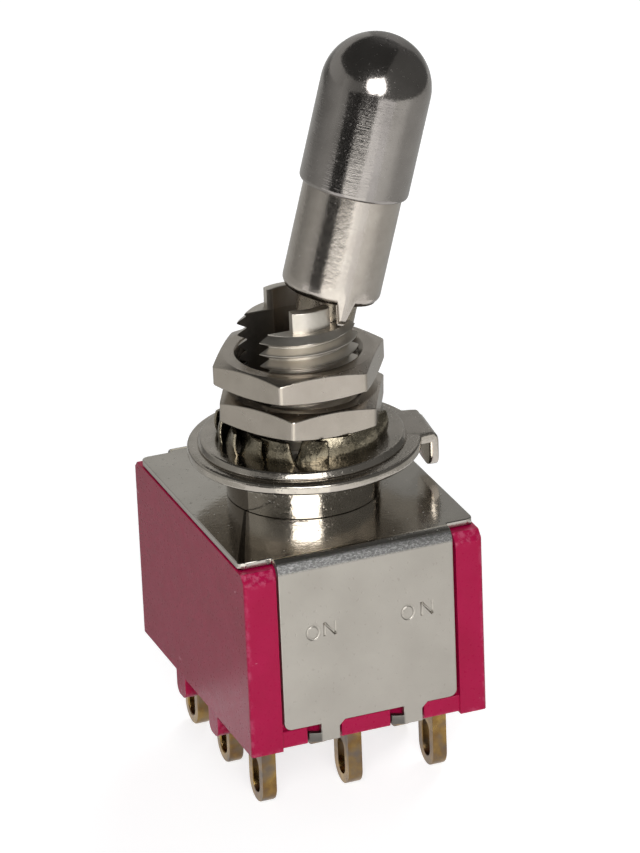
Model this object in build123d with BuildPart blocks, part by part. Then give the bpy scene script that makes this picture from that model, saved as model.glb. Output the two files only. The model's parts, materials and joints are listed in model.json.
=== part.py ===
from build123d import *
import math
import os

# Miniature locking toggle switch: three poles, two positions, solder lugs, threaded bushing.
# Millimetres. The origin is on the bushing's axis, at the top face of the steel frame.
# +X is the way the lever leans at rest, +Y is the rear, +Z is up through the lever.

# Moulded case
case_length = 12.8
case_depth = 16.3
case_height = 9.98
case_corner_radius = 0.15
case_edge_chamfer = 0.45
case_end_wall = 1.05
case_face_wall = 0.85
case_floor = 1.5
case_skirt_setback = 0.12
case_skirt_lift = 0.13

# Barrier ribs under the case, between the rows of lugs
rib_thickness = 1.35
rib_height = 1.27
rib_edge_radius = 0.5

# Folded steel frame
sheet_thickness = 0.35
plate_end_margin = 0.15
plate_face_margin = 0.9
plate_corner_radius = 0.35
plate_gap = 0.05
leg_width = 9.4
leg_offset = 0.13
leg_height = 9.3
leg_outer_gap = 0.05
leg_bend_radius = 0.65
leg_corner_radius = 0.4
leg_side_gap = 0.13
tab_width = 1.0
tab_length = 1.0
tab_left_place = -2.1
tab_right_place = 2.4
tab_root_radius = 0.3
hook_reach = 0.62
hook_height = 0.5
hook_set_in = 0.25
notch_gap = 0.12

# Threaded bushing
collar_radius = 3.98
collar_height = 2.2
collar_chamfer = 0.12
thread_radius = 3.1
thread_top = 9.45
thread_chamfer = 0.25
spigot_radius = 2.9
staked_rim_radius = 3.35
staked_rim_height = 0.25
throat_radius = 2.4
throat_height = 0.8
ball_clearance = 0.1
mouth_radius = 1.7
slot_clearance = 0.05
slot_bottom = 5.3
ear_height = 1.05
ear_tooth_gap = 0.36
ear_skirt_clearance = 0.07

# Lever
pivot_height = 3.86
throw_angle = 15.4
ball_radius = 1.95
stem_radius = 1.52
stem_length = 15.5
arm_radius = 0.95
rivet_radius = 0.9
rivet_head_radius = 1.35
rivet_head_height = 0.35
stem_washer_radius = 1.95
stem_washer_thickness = 0.5

# Cross pin through the ball, running in the bushing's two keyways
pin_radius = 0.5
pin_length = 4.8
pin_clearance = 0.04
pin_end_gap = 0.06

# Locking sleeve and its cap
sleeve_radius = 2.53
sleeve_bottom = 6.9
sleeve_chamfer = 0.3
sleeve_guide_length = 1.9
sleeve_clearance = 0.06
sleeve_spigot_wall = 0.3
sleeve_spigot_length = 2.8
tooth_depth = 1.03
tooth_base_width = 0.97
tooth_tip_width = 0.34
tooth_thickness = 0.18
cap_radius = 2.8
cap_bottom = 12.42
cap_dome_centre = 17.72
cap_chamfer = 0.3
spring_chamber_radius = 2.0
chamber_head_room = 0.7

# Springs
sleeve_spring_wire = 0.3
sleeve_spring_turns = 7
plunger_spring_wire = 0.16
plunger_spring_turns = 3.5
spring_side_gap = 0.08

# Washer, locking ring and nuts
ring_radius = 5.99
ring_offset = 0.1
ring_thickness = 0.55
ring_turn = -6.3
ring_bore_clearance = 0.14
ring_tab_reach = 6.95
ring_tab_width = 2.7
ring_tab_drop = 1.58
ring_tab_corner = 0.75
ring_bend_radius = 0.4
washer_outer_radius = 5.35
washer_band_radius = 4.2
washer_thickness = 0.38
washer_tooth_count = 10
washer_tooth_rise = 1.07
washer_tooth_lean = 0.35
washer_tooth_gap = 0.45
nut_across_flats = 7.94
nut_thickness = 1.42
nut_clearance = 0.01
nut_chamfer_depth = 0.22
nut_bore_chamfer = 0.2
lower_nut_gap = 0.06
lower_nut_turn = 3.2
nut_spacing = 2.01
upper_nut_turn = -2.9

# Terminals
lug_end_margin = 0.27
lug_face_margin = 1.055
lug_thickness = 0.76
lug_width = 2.03
lug_drop = 4.22
lug_hole_length = 2.0
lug_hole_width = 0.95
lug_hole_margin = 0.5
lug_slot_clearance = 0.02
cradle_ear_thickness = 0.35
cradle_ear_height = 0.55
cradle_gap = 0.06
seal_thickness = 0.5

# Rocker contacts
rocker_tilt = 8.0
rocker_thickness = 0.3
rocker_width = 1.6
rocker_overhang = 0.2
bowl_end_room = 0.77
contact_gap = 0.03

# Moulded plunger holder on the lever's lower arm
holder_top = 5.3
holder_height = 3.3
holder_width = 3.2
holder_end_margin = 1.35
holder_edge_radius = 0.35
socket_depth = 1.2
plunger_radius = 0.7
plunger_length = 1.6
plunger_reach = 9.5
plunger_clearance = 0.05
plunger_bore_depth = 1.9

# Places worked out from the sizes above
plate_length = case_length - 2 * plate_end_margin
plate_depth = case_depth - 2 * plate_face_margin
case_top = -sheet_thickness - plate_gap
case_bottom = case_top - case_height
case_face = case_depth / 2
leg_face = case_face - leg_outer_gap
leg_back = leg_face - sheet_thickness
recess_half_width = leg_width / 2 + leg_side_gap
cavity_length = case_length - 2 * case_end_wall
cavity_depth = 2 * (leg_back - case_face_wall)
floor_top = case_bottom + case_floor
throw_spacing = cavity_length / 2 - lug_end_margin - lug_thickness / 2
pole_spacing = cavity_depth / 2 - lug_face_margin - lug_width / 2
tab_bottom = -leg_height - tab_length
tab_places = (tab_left_place, tab_right_place)
chamber_radius = ball_radius + ball_clearance
slot_half_width = stem_radius + slot_clearance
lean = math.radians(throw_angle)
tooth_flank_place = sleeve_bottom * math.sin(lean) - tooth_base_width / 2 * math.cos(lean)
ear_half_width = tooth_flank_place - ear_tooth_gap
tooth_inner_radius = sleeve_radius - tooth_thickness
tooth_side = tooth_base_width / 2
tooth_clear_radius = math.sqrt(tooth_inner_radius**2 - tooth_side**2)
ear_radius = tooth_clear_radius - ear_skirt_clearance / 2
ring_bottom = collar_height
washer_bottom = ring_bottom + ring_thickness
washer_top = washer_bottom + washer_thickness
lower_nut_bottom = washer_top + washer_tooth_rise + lower_nut_gap
upper_nut_bottom = lower_nut_bottom + nut_spacing
lug_tip = case_bottom - lug_drop
stem_head = stem_length + stem_washer_thickness
sleeve_bore_radius = stem_radius + sleeve_clearance
spring_seat = sleeve_bottom + sleeve_guide_length
sleeve_spigot_radius = spring_chamber_radius + sleeve_spigot_wall
sleeve_top = cap_bottom + sleeve_spigot_length
chamber_top = stem_head + rivet_head_height + chamber_head_room
row_places = {"front": -pole_spacing, "middle": 0.0, "rear": pole_spacing}
column_places = {"left": -throw_spacing, "centre": 0.0, "right": throw_spacing}
holder_bottom = holder_top + holder_height
bore_top = holder_bottom - plunger_bore_depth
plunger_top = plunger_reach - plunger_length

# Planes and axes of the leaning lever
pivot = Vector(0, 0, pivot_height)
lever_up = Vector(math.sin(lean), 0, math.cos(lean))
lever_side = Vector(math.cos(lean), 0, -math.sin(lean))
lever_plane = Plane(origin=pivot, x_dir=lever_side, z_dir=lever_up)
lever_section = Plane(origin=pivot, x_dir=lever_side, z_dir=(0, -1, 0))
lever_axis = Axis(pivot, lever_up)

# Planes of the locking ring, whose lug is turned a little from the lever's plane
ring_plane = Plane.XY.rotated((0, 0, ring_turn))
tab_plane = Plane(origin=(0, 0, 0), x_dir=ring_plane.y_dir, z_dir=ring_plane.x_dir)

# The rocker's bowl follows the plunger tip: both turn together, so the tip's centre draws an arc on the rocker.
tip_centre = plunger_reach - plunger_radius
rocker_pivot = pivot_height - plunger_reach - contact_gap - rocker_thickness
tip_height = pivot_height - rocker_pivot - tip_centre
rocker_lean = math.radians(rocker_tilt)
side_x = tip_centre * math.sin(lean)
side_z = pivot_height - rocker_pivot - tip_centre * math.cos(lean)
track_x = side_x * math.cos(rocker_lean) - side_z * math.sin(rocker_lean)
track_z = side_x * math.sin(rocker_lean) + side_z * math.cos(rocker_lean)
track_rise = track_z - tip_height
track_radius = (track_x**2 + track_rise**2) / (2 * track_rise)
rocker_half_length = throw_spacing + rocker_overhang
rocker_bowl_half = track_x + bowl_end_room
bowl_top_radius = track_radius + plunger_radius + contact_gap
bowl_under_radius = bowl_top_radius + rocker_thickness
bowl_centre = bowl_under_radius
wing_top = bowl_centre - math.sqrt(bowl_top_radius**2 - rocker_bowl_half**2)
wing_under = wing_top - rocker_thickness
bowl_under_half = math.sqrt(bowl_under_radius**2 - (bowl_centre - wing_under) ** 2)
contact_reach = throw_spacing * math.cos(rocker_lean) - wing_under * math.sin(rocker_lean)
contact_height = (
    rocker_pivot
    + wing_under * math.cos(rocker_lean)
    - contact_reach * math.sin(rocker_lean)
    - lug_thickness / 2 * math.tan(rocker_lean)
    - contact_gap
)

os.makedirs("parts", exist_ok=True)


# Moulded case: an open-topped cup with a slotted floor, face recesses for the frame's legs and barrier ribs
with BuildPart() as case:
    with BuildSketch(Plane.XY.offset(case_bottom)):
        RectangleRounded(case_length, case_depth, case_corner_radius)
    extrude(amount=case_height)
    with BuildSketch(Plane.XY.offset(floor_top)):
        Rectangle(cavity_length, cavity_depth)
    extrude(amount=case_height, mode=Mode.SUBTRACT)
    recess_depth = case_face - leg_back
    with BuildSketch(Plane.XY.offset(-leg_height - plate_gap)):
        recess_place = leg_back + recess_depth / 2
        with Locations((leg_offset, -recess_place), (leg_offset, recess_place)):
            Rectangle(2 * recess_half_width, recess_depth)
    extrude(amount=case_height, mode=Mode.SUBTRACT)
    # The top edge of both faces is bevelled, and the recess edge clears the inside of the frame's bend.
    recess_bevel = leg_bend_radius - sheet_thickness
    for edge_place, bevel, middle, half_width in (
        (case_face, case_edge_chamfer, 0, case_length / 2),
        (leg_back, recess_bevel, leg_offset, recess_half_width),
    ):
        with BuildSketch(Plane.YZ.offset(middle)):
            for side in (-1, 1):
                with BuildLine():
                    Polyline(
                        (side * edge_place, case_top),
                        (side * edge_place, case_top - bevel),
                        (side * (edge_place - bevel), case_top),
                        close=True,
                    )
                make_face()
        extrude(amount=half_width, both=True, mode=Mode.SUBTRACT)
    # The skirt below each leg stands back a little and ends above the case's own edge.
    with BuildSketch(Plane.XY.offset(case_bottom)):
        with Locations((leg_offset, -case_face), (leg_offset, case_face)):
            Rectangle(2 * recess_half_width, 2 * case_skirt_setback)
    extrude(amount=-leg_height - case_bottom, mode=Mode.SUBTRACT)
    with BuildSketch(Plane.XY.offset(case_bottom)):
        with Locations((leg_offset, -case_face), (leg_offset, case_face)):
            Rectangle(2 * recess_half_width, 2 * recess_depth)
    extrude(amount=case_skirt_lift, mode=Mode.SUBTRACT)
    # Notches for the frame's crimped tabs and their hooks
    notch_width = tab_width + hook_reach + 2 * notch_gap
    notch_depth = case_face - leg_back + hook_set_in + notch_gap
    with BuildSketch(Plane.XY.offset(case_bottom)):
        for place in tab_places:
            with Locations(
                (place - hook_reach / 2, -case_face + notch_depth / 2),
                (place - hook_reach / 2, case_face - notch_depth / 2),
            ):
                Rectangle(notch_width, notch_depth)
    extrude(amount=-leg_height - case_bottom, mode=Mode.SUBTRACT)
    with BuildSketch(Plane.YZ) as rib_outline:
        with Locations((-pole_spacing / 2, case_bottom), (pole_spacing / 2, case_bottom)):
            Rectangle(rib_thickness, 2 * rib_height)
        fillet(rib_outline.vertices().group_by(Axis.Y)[0], radius=rib_edge_radius)
        with Locations((0, case_bottom + rib_height)):
            Rectangle(2 * pole_spacing, 2 * rib_height, mode=Mode.SUBTRACT)
    extrude(amount=case_length / 2, both=True)
    with BuildSketch(Plane.XY.offset(case_bottom)):
        with GridLocations(throw_spacing, pole_spacing, 3, 3):
            Rectangle(lug_thickness + 2 * lug_slot_clearance, lug_width + 2 * lug_slot_clearance)
    extrude(amount=case_floor, mode=Mode.SUBTRACT)
case.part.label = "case"
export_step(case.part, "parts/case.step")


# Folded steel frame: a top plate, two legs bent down over the case's faces, and crimped tabs
with BuildPart() as frame:
    with BuildSketch(Plane.YZ.offset(leg_offset)) as fold:
        with Locations((0, -leg_height / 2)):
            Rectangle(2 * leg_face, leg_height)
        fillet(fold.vertices().group_by(Axis.Y)[-1], radius=leg_bend_radius)
        inner_height = leg_height - sheet_thickness
        with BuildSketch(mode=Mode.SUBTRACT) as hollow:
            with Locations((0, -sheet_thickness - inner_height / 2)):
                Rectangle(2 * leg_back, inner_height)
            fillet(hollow.vertices().group_by(Axis.Y)[-1], radius=leg_bend_radius - sheet_thickness)
    extrude(amount=leg_width / 2, both=True)
    fillet(frame.edges().filter_by(Axis.Y).group_by(Axis.Z)[0], radius=leg_corner_radius)
    with BuildSketch(Plane.XY.offset(-sheet_thickness)):
        RectangleRounded(plate_length, plate_depth, plate_corner_radius)
    extrude(amount=sheet_thickness)
    with BuildSketch(Plane.XY.offset(-sheet_thickness)):
        Circle(spigot_radius)
    extrude(amount=sheet_thickness, mode=Mode.SUBTRACT)
    for place in tab_places:
        with BuildSketch(Plane.XZ.offset(leg_face)):
            with BuildLine():
                Polyline(
                    (place - tab_width / 2, -leg_height + sheet_thickness),
                    (place - tab_width / 2, tab_bottom),
                    (place + tab_width / 2, tab_bottom),
                    (place + tab_width / 2, -leg_height - tab_root_radius),
                    (place + tab_width / 2 + tab_root_radius, -leg_height),
                    (place + tab_width / 2 + tab_root_radius, -leg_height + sheet_thickness),
                    close=True,
                )
            make_face()
        extrude(amount=-sheet_thickness)
        # The tab's end is twisted inwards to grip the case.
        hook_end = place - tab_width / 2 - hook_reach
        with BuildSketch(Plane.XY.offset(tab_bottom)):
            with BuildLine():
                Polyline(
                    (place, -leg_face),
                    (place, -leg_back),
                    (place - tab_width / 2, -leg_back),
                    (hook_end, -leg_back + hook_set_in),
                    (hook_end, -leg_face + hook_set_in),
                    (place - tab_width / 2, -leg_face),
                    close=True,
                )
            make_face()
        extrude(amount=hook_height)
    split(bisect_by=Plane.XZ, keep=Keep.TOP)
    mirror(about=Plane.XZ)
frame.part.label = "frame"
export_step(frame.part, "parts/frame.step")


# Threaded bushing: staked through the frame, with a collar, a slotted mouth, two locking ears and pin keyways
with BuildPart() as bushing:
    with BuildSketch(Plane.XZ):
        with BuildLine():
            Polyline(
                (throat_radius, -sheet_thickness - staked_rim_height),
                (staked_rim_radius, -sheet_thickness - staked_rim_height),
                (staked_rim_radius, -sheet_thickness),
                (spigot_radius, -sheet_thickness),
                (spigot_radius, 0),
                (collar_radius, 0),
                (collar_radius, collar_height - collar_chamfer),
                (collar_radius - collar_chamfer, collar_height),
                (thread_radius, collar_height),
                (thread_radius, thread_top - thread_chamfer),
                (thread_radius - thread_chamfer, thread_top),
                (mouth_radius, thread_top),
                (mouth_radius, slot_bottom),
                (chamber_radius, slot_bottom),
                (chamber_radius, throat_height),
                (throat_radius, throat_height),
                close=True,
            )
        make_face()
    revolve(axis=Axis.Z)
    with BuildSketch(Plane.XY.offset(thread_top)):
        Circle(ear_radius)
        Rectangle(2 * ear_half_width, 2 * ear_radius, mode=Mode.INTERSECT)
        Circle(mouth_radius, mode=Mode.SUBTRACT)
    extrude(amount=ear_height)
    with BuildSketch(Plane.XY.offset(slot_bottom)):
        Rectangle(2 * thread_radius + 1, 2 * slot_half_width)
    extrude(amount=thread_top + ear_height - slot_bottom, mode=Mode.SUBTRACT)
    keyway_half = pin_radius + pin_clearance
    keyway_reach = pin_length / 2 + pin_end_gap
    with BuildSketch(Plane.XZ):
        with Locations((0, pivot_height)):
            Circle(keyway_half)
        with Locations((0, pivot_height / 2 - staked_rim_height)):
            Rectangle(2 * keyway_half, pivot_height + 2 * staked_rim_height)
    extrude(amount=keyway_reach, both=True, mode=Mode.SUBTRACT)
bushing.part.label = "bushing"
export_step(bushing.part, "parts/bushing.step")


# Locking ring: a flat washer with one lug bent down to key it against turning
with BuildPart() as locking_ring:
    with BuildSketch(ring_plane.offset(ring_bottom)):
        with Locations((ring_offset, 0)):
            Circle(ring_radius)
        with Locations((ring_tab_reach - ring_radius / 2, 0)):
            Rectangle(ring_radius, ring_tab_width)
        with Locations((ring_offset, 0)):
            Circle(thread_radius + ring_bore_clearance, mode=Mode.SUBTRACT)
    extrude(amount=ring_thickness)
    with BuildSketch(tab_plane.offset(ring_tab_reach - ring_thickness)) as tab_outline:
        with Locations((0, washer_bottom - (ring_thickness + ring_tab_drop) / 2)):
            Rectangle(ring_tab_width, ring_thickness + ring_tab_drop)
        fillet(tab_outline.vertices().group_by(Axis.Y)[0], radius=ring_tab_corner)
    extrude(amount=ring_thickness)
    bend_edges = locking_ring.edges().filter_by(Axis((0, 0, 0), tab_plane.x_dir))
    fillet(bend_edges.sort_by(Axis((0, 0, 0), tab_plane.z_dir + Vector(0, 0, 1)))[-1], radius=ring_bend_radius)
locking_ring.part.label = "locking_ring"
export_step(locking_ring.part, "parts/locking_ring.step")


# Lock washer: a flat band with internal teeth that stand up steeply to the nut
with BuildPart() as lock_washer:
    tooth_top_radius = washer_band_radius - washer_tooth_lean
    washer_bore = tooth_top_radius - washer_thickness
    with BuildSketch(Plane.XZ):
        with BuildLine():
            Polyline(
                (washer_outer_radius, washer_bottom),
                (washer_outer_radius, washer_top),
                (washer_band_radius, washer_top),
                (tooth_top_radius, washer_top + washer_tooth_rise),
                (washer_bore, washer_top + washer_tooth_rise),
                (washer_band_radius - washer_thickness, washer_bottom),
                close=True,
            )
        make_face()
    revolve(axis=Axis.Z)
    with BuildSketch(Plane.XY.offset(washer_bottom)):
        with PolarLocations((washer_bore + washer_band_radius) / 2, washer_tooth_count):
            Rectangle(washer_band_radius - washer_bore + washer_tooth_gap, washer_tooth_gap)
        Circle(washer_band_radius, mode=Mode.INTERSECT)
    extrude(amount=washer_thickness + washer_tooth_rise, mode=Mode.SUBTRACT)
lock_washer.part.label = "lock_washer"
export_step(lock_washer.part, "parts/lock_washer.step")


def make_nut(name, bottom, turn):
    """Thin hexagon nut with both faces chamfered and its bore countersunk."""
    corner_radius = nut_across_flats / 2 / math.cos(math.radians(30))
    face_radius = nut_across_flats / 2 - 0.5 * nut_chamfer_depth
    bore = thread_radius + nut_clearance
    top = bottom + nut_thickness
    with BuildPart() as nut:
        with BuildSketch(Plane.XY.offset(bottom)):
            RegularPolygon(nut_across_flats / 2, 6, major_radius=False, rotation=turn)
        extrude(amount=nut_thickness)
        with BuildSketch(Plane.XZ):
            with BuildLine():
                Polyline(
                    (bore + nut_bore_chamfer, bottom),
                    (face_radius, bottom),
                    (corner_radius, bottom + nut_chamfer_depth),
                    (corner_radius, top - nut_chamfer_depth),
                    (face_radius, top),
                    (bore + nut_bore_chamfer, top),
                    (bore, top - nut_bore_chamfer),
                    (bore, bottom + nut_bore_chamfer),
                    close=True,
                )
            make_face()
        revolve(axis=Axis.Z, mode=Mode.INTERSECT)
    nut.part.label = name
    export_step(nut.part, f"parts/{name}.step")


make_nut("lower_hex_nut", lower_nut_bottom, lower_nut_turn)
make_nut("upper_hex_nut", upper_nut_bottom, upper_nut_turn)


# Nine terminals: a solder lug below the floor, and a contact post or a rocker cradle above it
lug_tip_radius = lug_width / 2
for row, row_place in row_places.items():
    for column, column_place in column_places.items():
        is_centre = column == "centre"
        head = rocker_pivot - contact_gap if is_centre else contact_height
        with BuildPart() as terminal:
            with BuildSketch(Plane.YZ.offset(column_place)):
                with BuildLine():
                    left = row_place - lug_width / 2
                    right = row_place + lug_width / 2
                    round_start = lug_tip + lug_tip_radius
                    Polyline((left, round_start), (left, head), (right, head), (right, round_start))
                    ThreePointArc((right, round_start), (row_place, lug_tip), (left, round_start))
                make_face()
                with Locations((row_place, lug_tip + lug_hole_margin + lug_hole_length / 2)):
                    SlotOverall(lug_hole_length, lug_hole_width, rotation=90, mode=Mode.SUBTRACT)
            extrude(amount=lug_thickness / 2, both=True)
            head_edges = terminal.edges().filter_by(Axis.Y).group_by(Axis.Z)[-1]
            fillet(head_edges, radius=0.45 * lug_thickness)
            if is_centre:
                ear_place = rocker_width / 2 + cradle_gap + cradle_ear_thickness / 2
                ear_drop = 3 * cradle_ear_height
                with BuildSketch(Plane.XY.offset(rocker_pivot - ear_drop)):
                    with Locations((0, row_place - ear_place), (0, row_place + ear_place)):
                        Rectangle(lug_thickness, cradle_ear_thickness)
                extrude(amount=ear_drop + cradle_ear_height)
        terminal.part.label = f"terminal_{row}_{column}"
        export_step(terminal.part, f"parts/terminal_{row}_{column}.step")


# Resin seal poured over the floor around the terminals
with BuildPart() as terminal_seal:
    with BuildSketch(Plane.XY.offset(floor_top)):
        Rectangle(cavity_length, cavity_depth)
        with GridLocations(throw_spacing, pole_spacing, 3, 3):
            Rectangle(lug_thickness, lug_width, mode=Mode.SUBTRACT)
    extrude(amount=seal_thickness)
terminal_seal.part.label = "terminal_seal"
export_step(terminal_seal.part, "parts/terminal_seal.step")


# Lever: a turned stem with a pivot ball, a driving arm below and a riveted head on top
with BuildPart() as lever:
    with BuildSketch(lever_section):
        with BuildLine():
            ball_to_arm = math.sqrt(ball_radius**2 - arm_radius**2)
            ball_to_stem = math.sqrt(ball_radius**2 - stem_radius**2)
            Polyline(
                (arm_radius, -ball_to_arm),
                (arm_radius, -holder_top - socket_depth),
                (0, -holder_top - socket_depth),
                (0, stem_head + rivet_head_height),
                (rivet_head_radius, stem_head + rivet_head_height),
                (rivet_head_radius, stem_head),
                (rivet_radius, stem_head),
                (rivet_radius, stem_length),
                (stem_radius, stem_length),
                (stem_radius, ball_to_stem),
            )
            ThreePointArc((stem_radius, ball_to_stem), (ball_radius, 0), (arm_radius, -ball_to_arm))
        make_face()
    revolve(axis=lever_axis)
    with BuildSketch(Plane.XZ):
        with Locations((0, pivot_height)):
            Circle(pin_radius)
    extrude(amount=ball_radius + 1, both=True, mode=Mode.SUBTRACT)
lever.part.label = "lever"
export_step(lever.part, "parts/lever.step")


# Cross pin pressed through the ball
with BuildPart() as pivot_pin:
    with BuildSketch(Plane.XZ):
        with Locations((0, pivot_height)):
            Circle(pin_radius)
    extrude(amount=pin_length / 2, both=True)
pivot_pin.part.label = "pivot_pin"
export_step(pivot_pin.part, "parts/pivot_pin.step")


# Washer under the riveted head, which the sleeve's spring pushes against
with BuildPart() as stem_washer:
    with BuildSketch(lever_plane.offset(stem_length)):
        Circle(stem_washer_radius)
        Circle(rivet_radius, mode=Mode.SUBTRACT)
    extrude(amount=stem_washer_thickness)
stem_washer.part.label = "stem_washer"
export_step(stem_washer.part, "parts/stem_washer.step")


# Plunger holder: a moulded bar across all three poles, pressed onto the lever's arm
with BuildPart() as plunger_holder:
    holder_length = 2 * pole_spacing + 2 * holder_end_margin
    with BuildSketch(lever_plane.offset(-holder_bottom)):
        RectangleRounded(holder_width, holder_length, holder_edge_radius)
    extrude(amount=holder_height)
    with BuildSketch(lever_plane.offset(-holder_top)):
        Circle(arm_radius)
    extrude(amount=-socket_depth, mode=Mode.SUBTRACT)
    with BuildSketch(lever_plane.offset(-holder_bottom)):
        with GridLocations(1, pole_spacing, 1, 3):
            Circle(plunger_radius + plunger_clearance)
    extrude(amount=plunger_bore_depth, mode=Mode.SUBTRACT)
plunger_holder.part.label = "plunger_holder"
export_step(plunger_holder.part, "parts/plunger_holder.step")


# Locking sleeve: slides on the stem, with two teeth that drop beside the bushing's ears
with BuildPart() as locking_sleeve:
    with BuildSketch(lever_section):
        with BuildLine():
            Polyline(
                (sleeve_bore_radius, sleeve_bottom),
                (sleeve_radius - sleeve_chamfer, sleeve_bottom),
                (sleeve_radius, sleeve_bottom + sleeve_chamfer),
                (sleeve_radius, cap_bottom),
                (sleeve_spigot_radius, cap_bottom),
                (sleeve_spigot_radius, sleeve_top),
                (spring_chamber_radius, sleeve_top),
                (spring_chamber_radius, spring_seat),
                (sleeve_bore_radius, spring_seat),
                close=True,
            )
        make_face()
    revolve(axis=lever_axis)
    with BuildPart(mode=Mode.PRIVATE) as skirt:
        skirt_height = tooth_depth + 2 * sleeve_chamfer
        with BuildSketch(lever_plane.offset(sleeve_bottom - tooth_depth)):
            Circle(sleeve_radius)
            Circle(tooth_inner_radius, mode=Mode.SUBTRACT)
        extrude(amount=skirt_height)
    with BuildPart(mode=Mode.PRIVATE) as tooth_block:
        with BuildSketch(lever_section):
            with BuildLine():
                Polyline(
                    (-tooth_tip_width / 2, sleeve_bottom - tooth_depth),
                    (tooth_tip_width / 2, sleeve_bottom - tooth_depth),
                    (tooth_base_width / 2, sleeve_bottom),
                    (tooth_base_width / 2, sleeve_bottom + 2 * sleeve_chamfer),
                    (-tooth_base_width / 2, sleeve_bottom + 2 * sleeve_chamfer),
                    (-tooth_base_width / 2, sleeve_bottom),
                    close=True,
                )
            make_face()
        extrude(amount=2 * sleeve_radius, both=True)
    add(skirt.part & tooth_block.part)
locking_sleeve.part.label = "locking_sleeve"
export_step(locking_sleeve.part, "parts/locking_sleeve.step")


# Sleeve cap: the domed finger grip, screwed onto the sleeve's spigot
with BuildPart() as sleeve_cap:
    with BuildSketch(lever_section):
        with BuildLine():
            dome_tip = cap_dome_centre + cap_radius
            dome_middle = cap_radius * math.sin(math.radians(45))
            Polyline(
                (0, dome_tip),
                (0, chamber_top),
                (spring_chamber_radius, chamber_top),
                (spring_chamber_radius, sleeve_top),
                (sleeve_spigot_radius, sleeve_top),
                (sleeve_spigot_radius, cap_bottom),
                (cap_radius - cap_chamfer, cap_bottom),
                (cap_radius, cap_bottom + cap_chamfer),
                (cap_radius, cap_dome_centre),
            )
            ThreePointArc(
                (cap_radius, cap_dome_centre),
                (dome_middle, cap_dome_centre + dome_middle),
                (0, dome_tip),
            )
        make_face()
    revolve(axis=lever_axis)
sleeve_cap.part.label = "sleeve_cap"
export_step(sleeve_cap.part, "parts/sleeve_cap.step")


def make_spring(name, foot, coil_radius, wire, length, turns):
    """Round-wire coil spring that stands on the point foot and fills length along the lever's axis."""
    coil_height = length - wire
    with BuildPart() as spring:
        with BuildLine() as coil:
            Helix(
                pitch=coil_height / turns,
                height=coil_height,
                radius=coil_radius,
                center=foot + lever_up * (wire / 2),
                direction=lever_up,
            )
        with BuildSketch(Plane(origin=coil.line @ 0, z_dir=coil.line % 0)):
            Circle(wire / 2)
        sweep(path=coil.line, is_frenet=True)
    spring.part.label = name
    export_step(spring.part, f"parts/{name}.step")


make_spring(
    "sleeve_spring",
    pivot + lever_up * spring_seat,
    stem_radius + spring_side_gap + sleeve_spring_wire / 2,
    sleeve_spring_wire,
    stem_length - spring_seat,
    sleeve_spring_turns,
)


# Three spring plungers in the holder, and the rocker contact that each one presses
for row, row_place in row_places.items():
    with BuildPart() as plunger:
        row_section = Plane(origin=pivot + Vector(0, row_place, 0), x_dir=lever_side, z_dir=(0, -1, 0))
        with BuildSketch(row_section):
            with BuildLine():
                Polyline(
                    (0, -plunger_reach),
                    (0, -plunger_top),
                    (plunger_radius, -plunger_top),
                    (plunger_radius, -tip_centre),
                )
                tip_side = plunger_radius * math.sin(math.radians(45))
                ThreePointArc(
                    (plunger_radius, -tip_centre),
                    (tip_side, -tip_centre - tip_side),
                    (0, -plunger_reach),
                )
            make_face()
        revolve(axis=Axis(pivot + Vector(0, row_place, 0), lever_up))
    plunger.part.label = f"plunger_{row}"
    export_step(plunger.part, f"parts/plunger_{row}.step")

    make_spring(
        f"plunger_spring_{row}",
        pivot + Vector(0, row_place, 0) - lever_up * plunger_top,
        plunger_radius - spring_side_gap - plunger_spring_wire / 2,
        plunger_spring_wire,
        plunger_top - bore_top,
        plunger_spring_turns,
    )

    with BuildPart() as rocker:
        rocker_side = Vector(math.cos(rocker_lean), 0, math.sin(rocker_lean))
        rocker_plane = Plane(
            origin=(0, row_place, rocker_pivot),
            x_dir=rocker_side,
            z_dir=(0, -1, 0),
        )
        with BuildSketch(rocker_plane):
            with BuildLine():
                Polyline(
                    (-rocker_bowl_half, wing_top),
                    (-rocker_half_length, wing_top),
                    (-rocker_half_length, wing_under),
                    (-bowl_under_half, wing_under),
                )
                ThreePointArc((-bowl_under_half, wing_under), (0, 0), (bowl_under_half, wing_under))
                Polyline(
                    (bowl_under_half, wing_under),
                    (rocker_half_length, wing_under),
                    (rocker_half_length, wing_top),
                    (rocker_bowl_half, wing_top),
                )
                ThreePointArc(
                    (rocker_bowl_half, wing_top),
                    (0, rocker_thickness),
                    (-rocker_bowl_half, wing_top),
                )
            make_face()
        extrude(amount=rocker_width / 2, both=True)
    rocker.part.label = f"rocker_contact_{row}"
    export_step(rocker.part, f"parts/rocker_contact_{row}.step")
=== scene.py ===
# %% [markdown]
# # Dressing a miniature locking toggle switch
# The switch has a crimson moulded case, a folded steel frame over it, a threaded nickel-plated bushing with
# two hex nuts, a tooth lock washer and a keyed locking ring, and a lever that wears a sliding locking sleeve.
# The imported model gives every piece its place. This lesson gives each visible piece its true surface and
# finish.

# %% Load the frame
import json
import math
from functools import partial

import bmesh
import bpy
import numpy as np
from mathutils import Matrix, Vector


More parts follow.
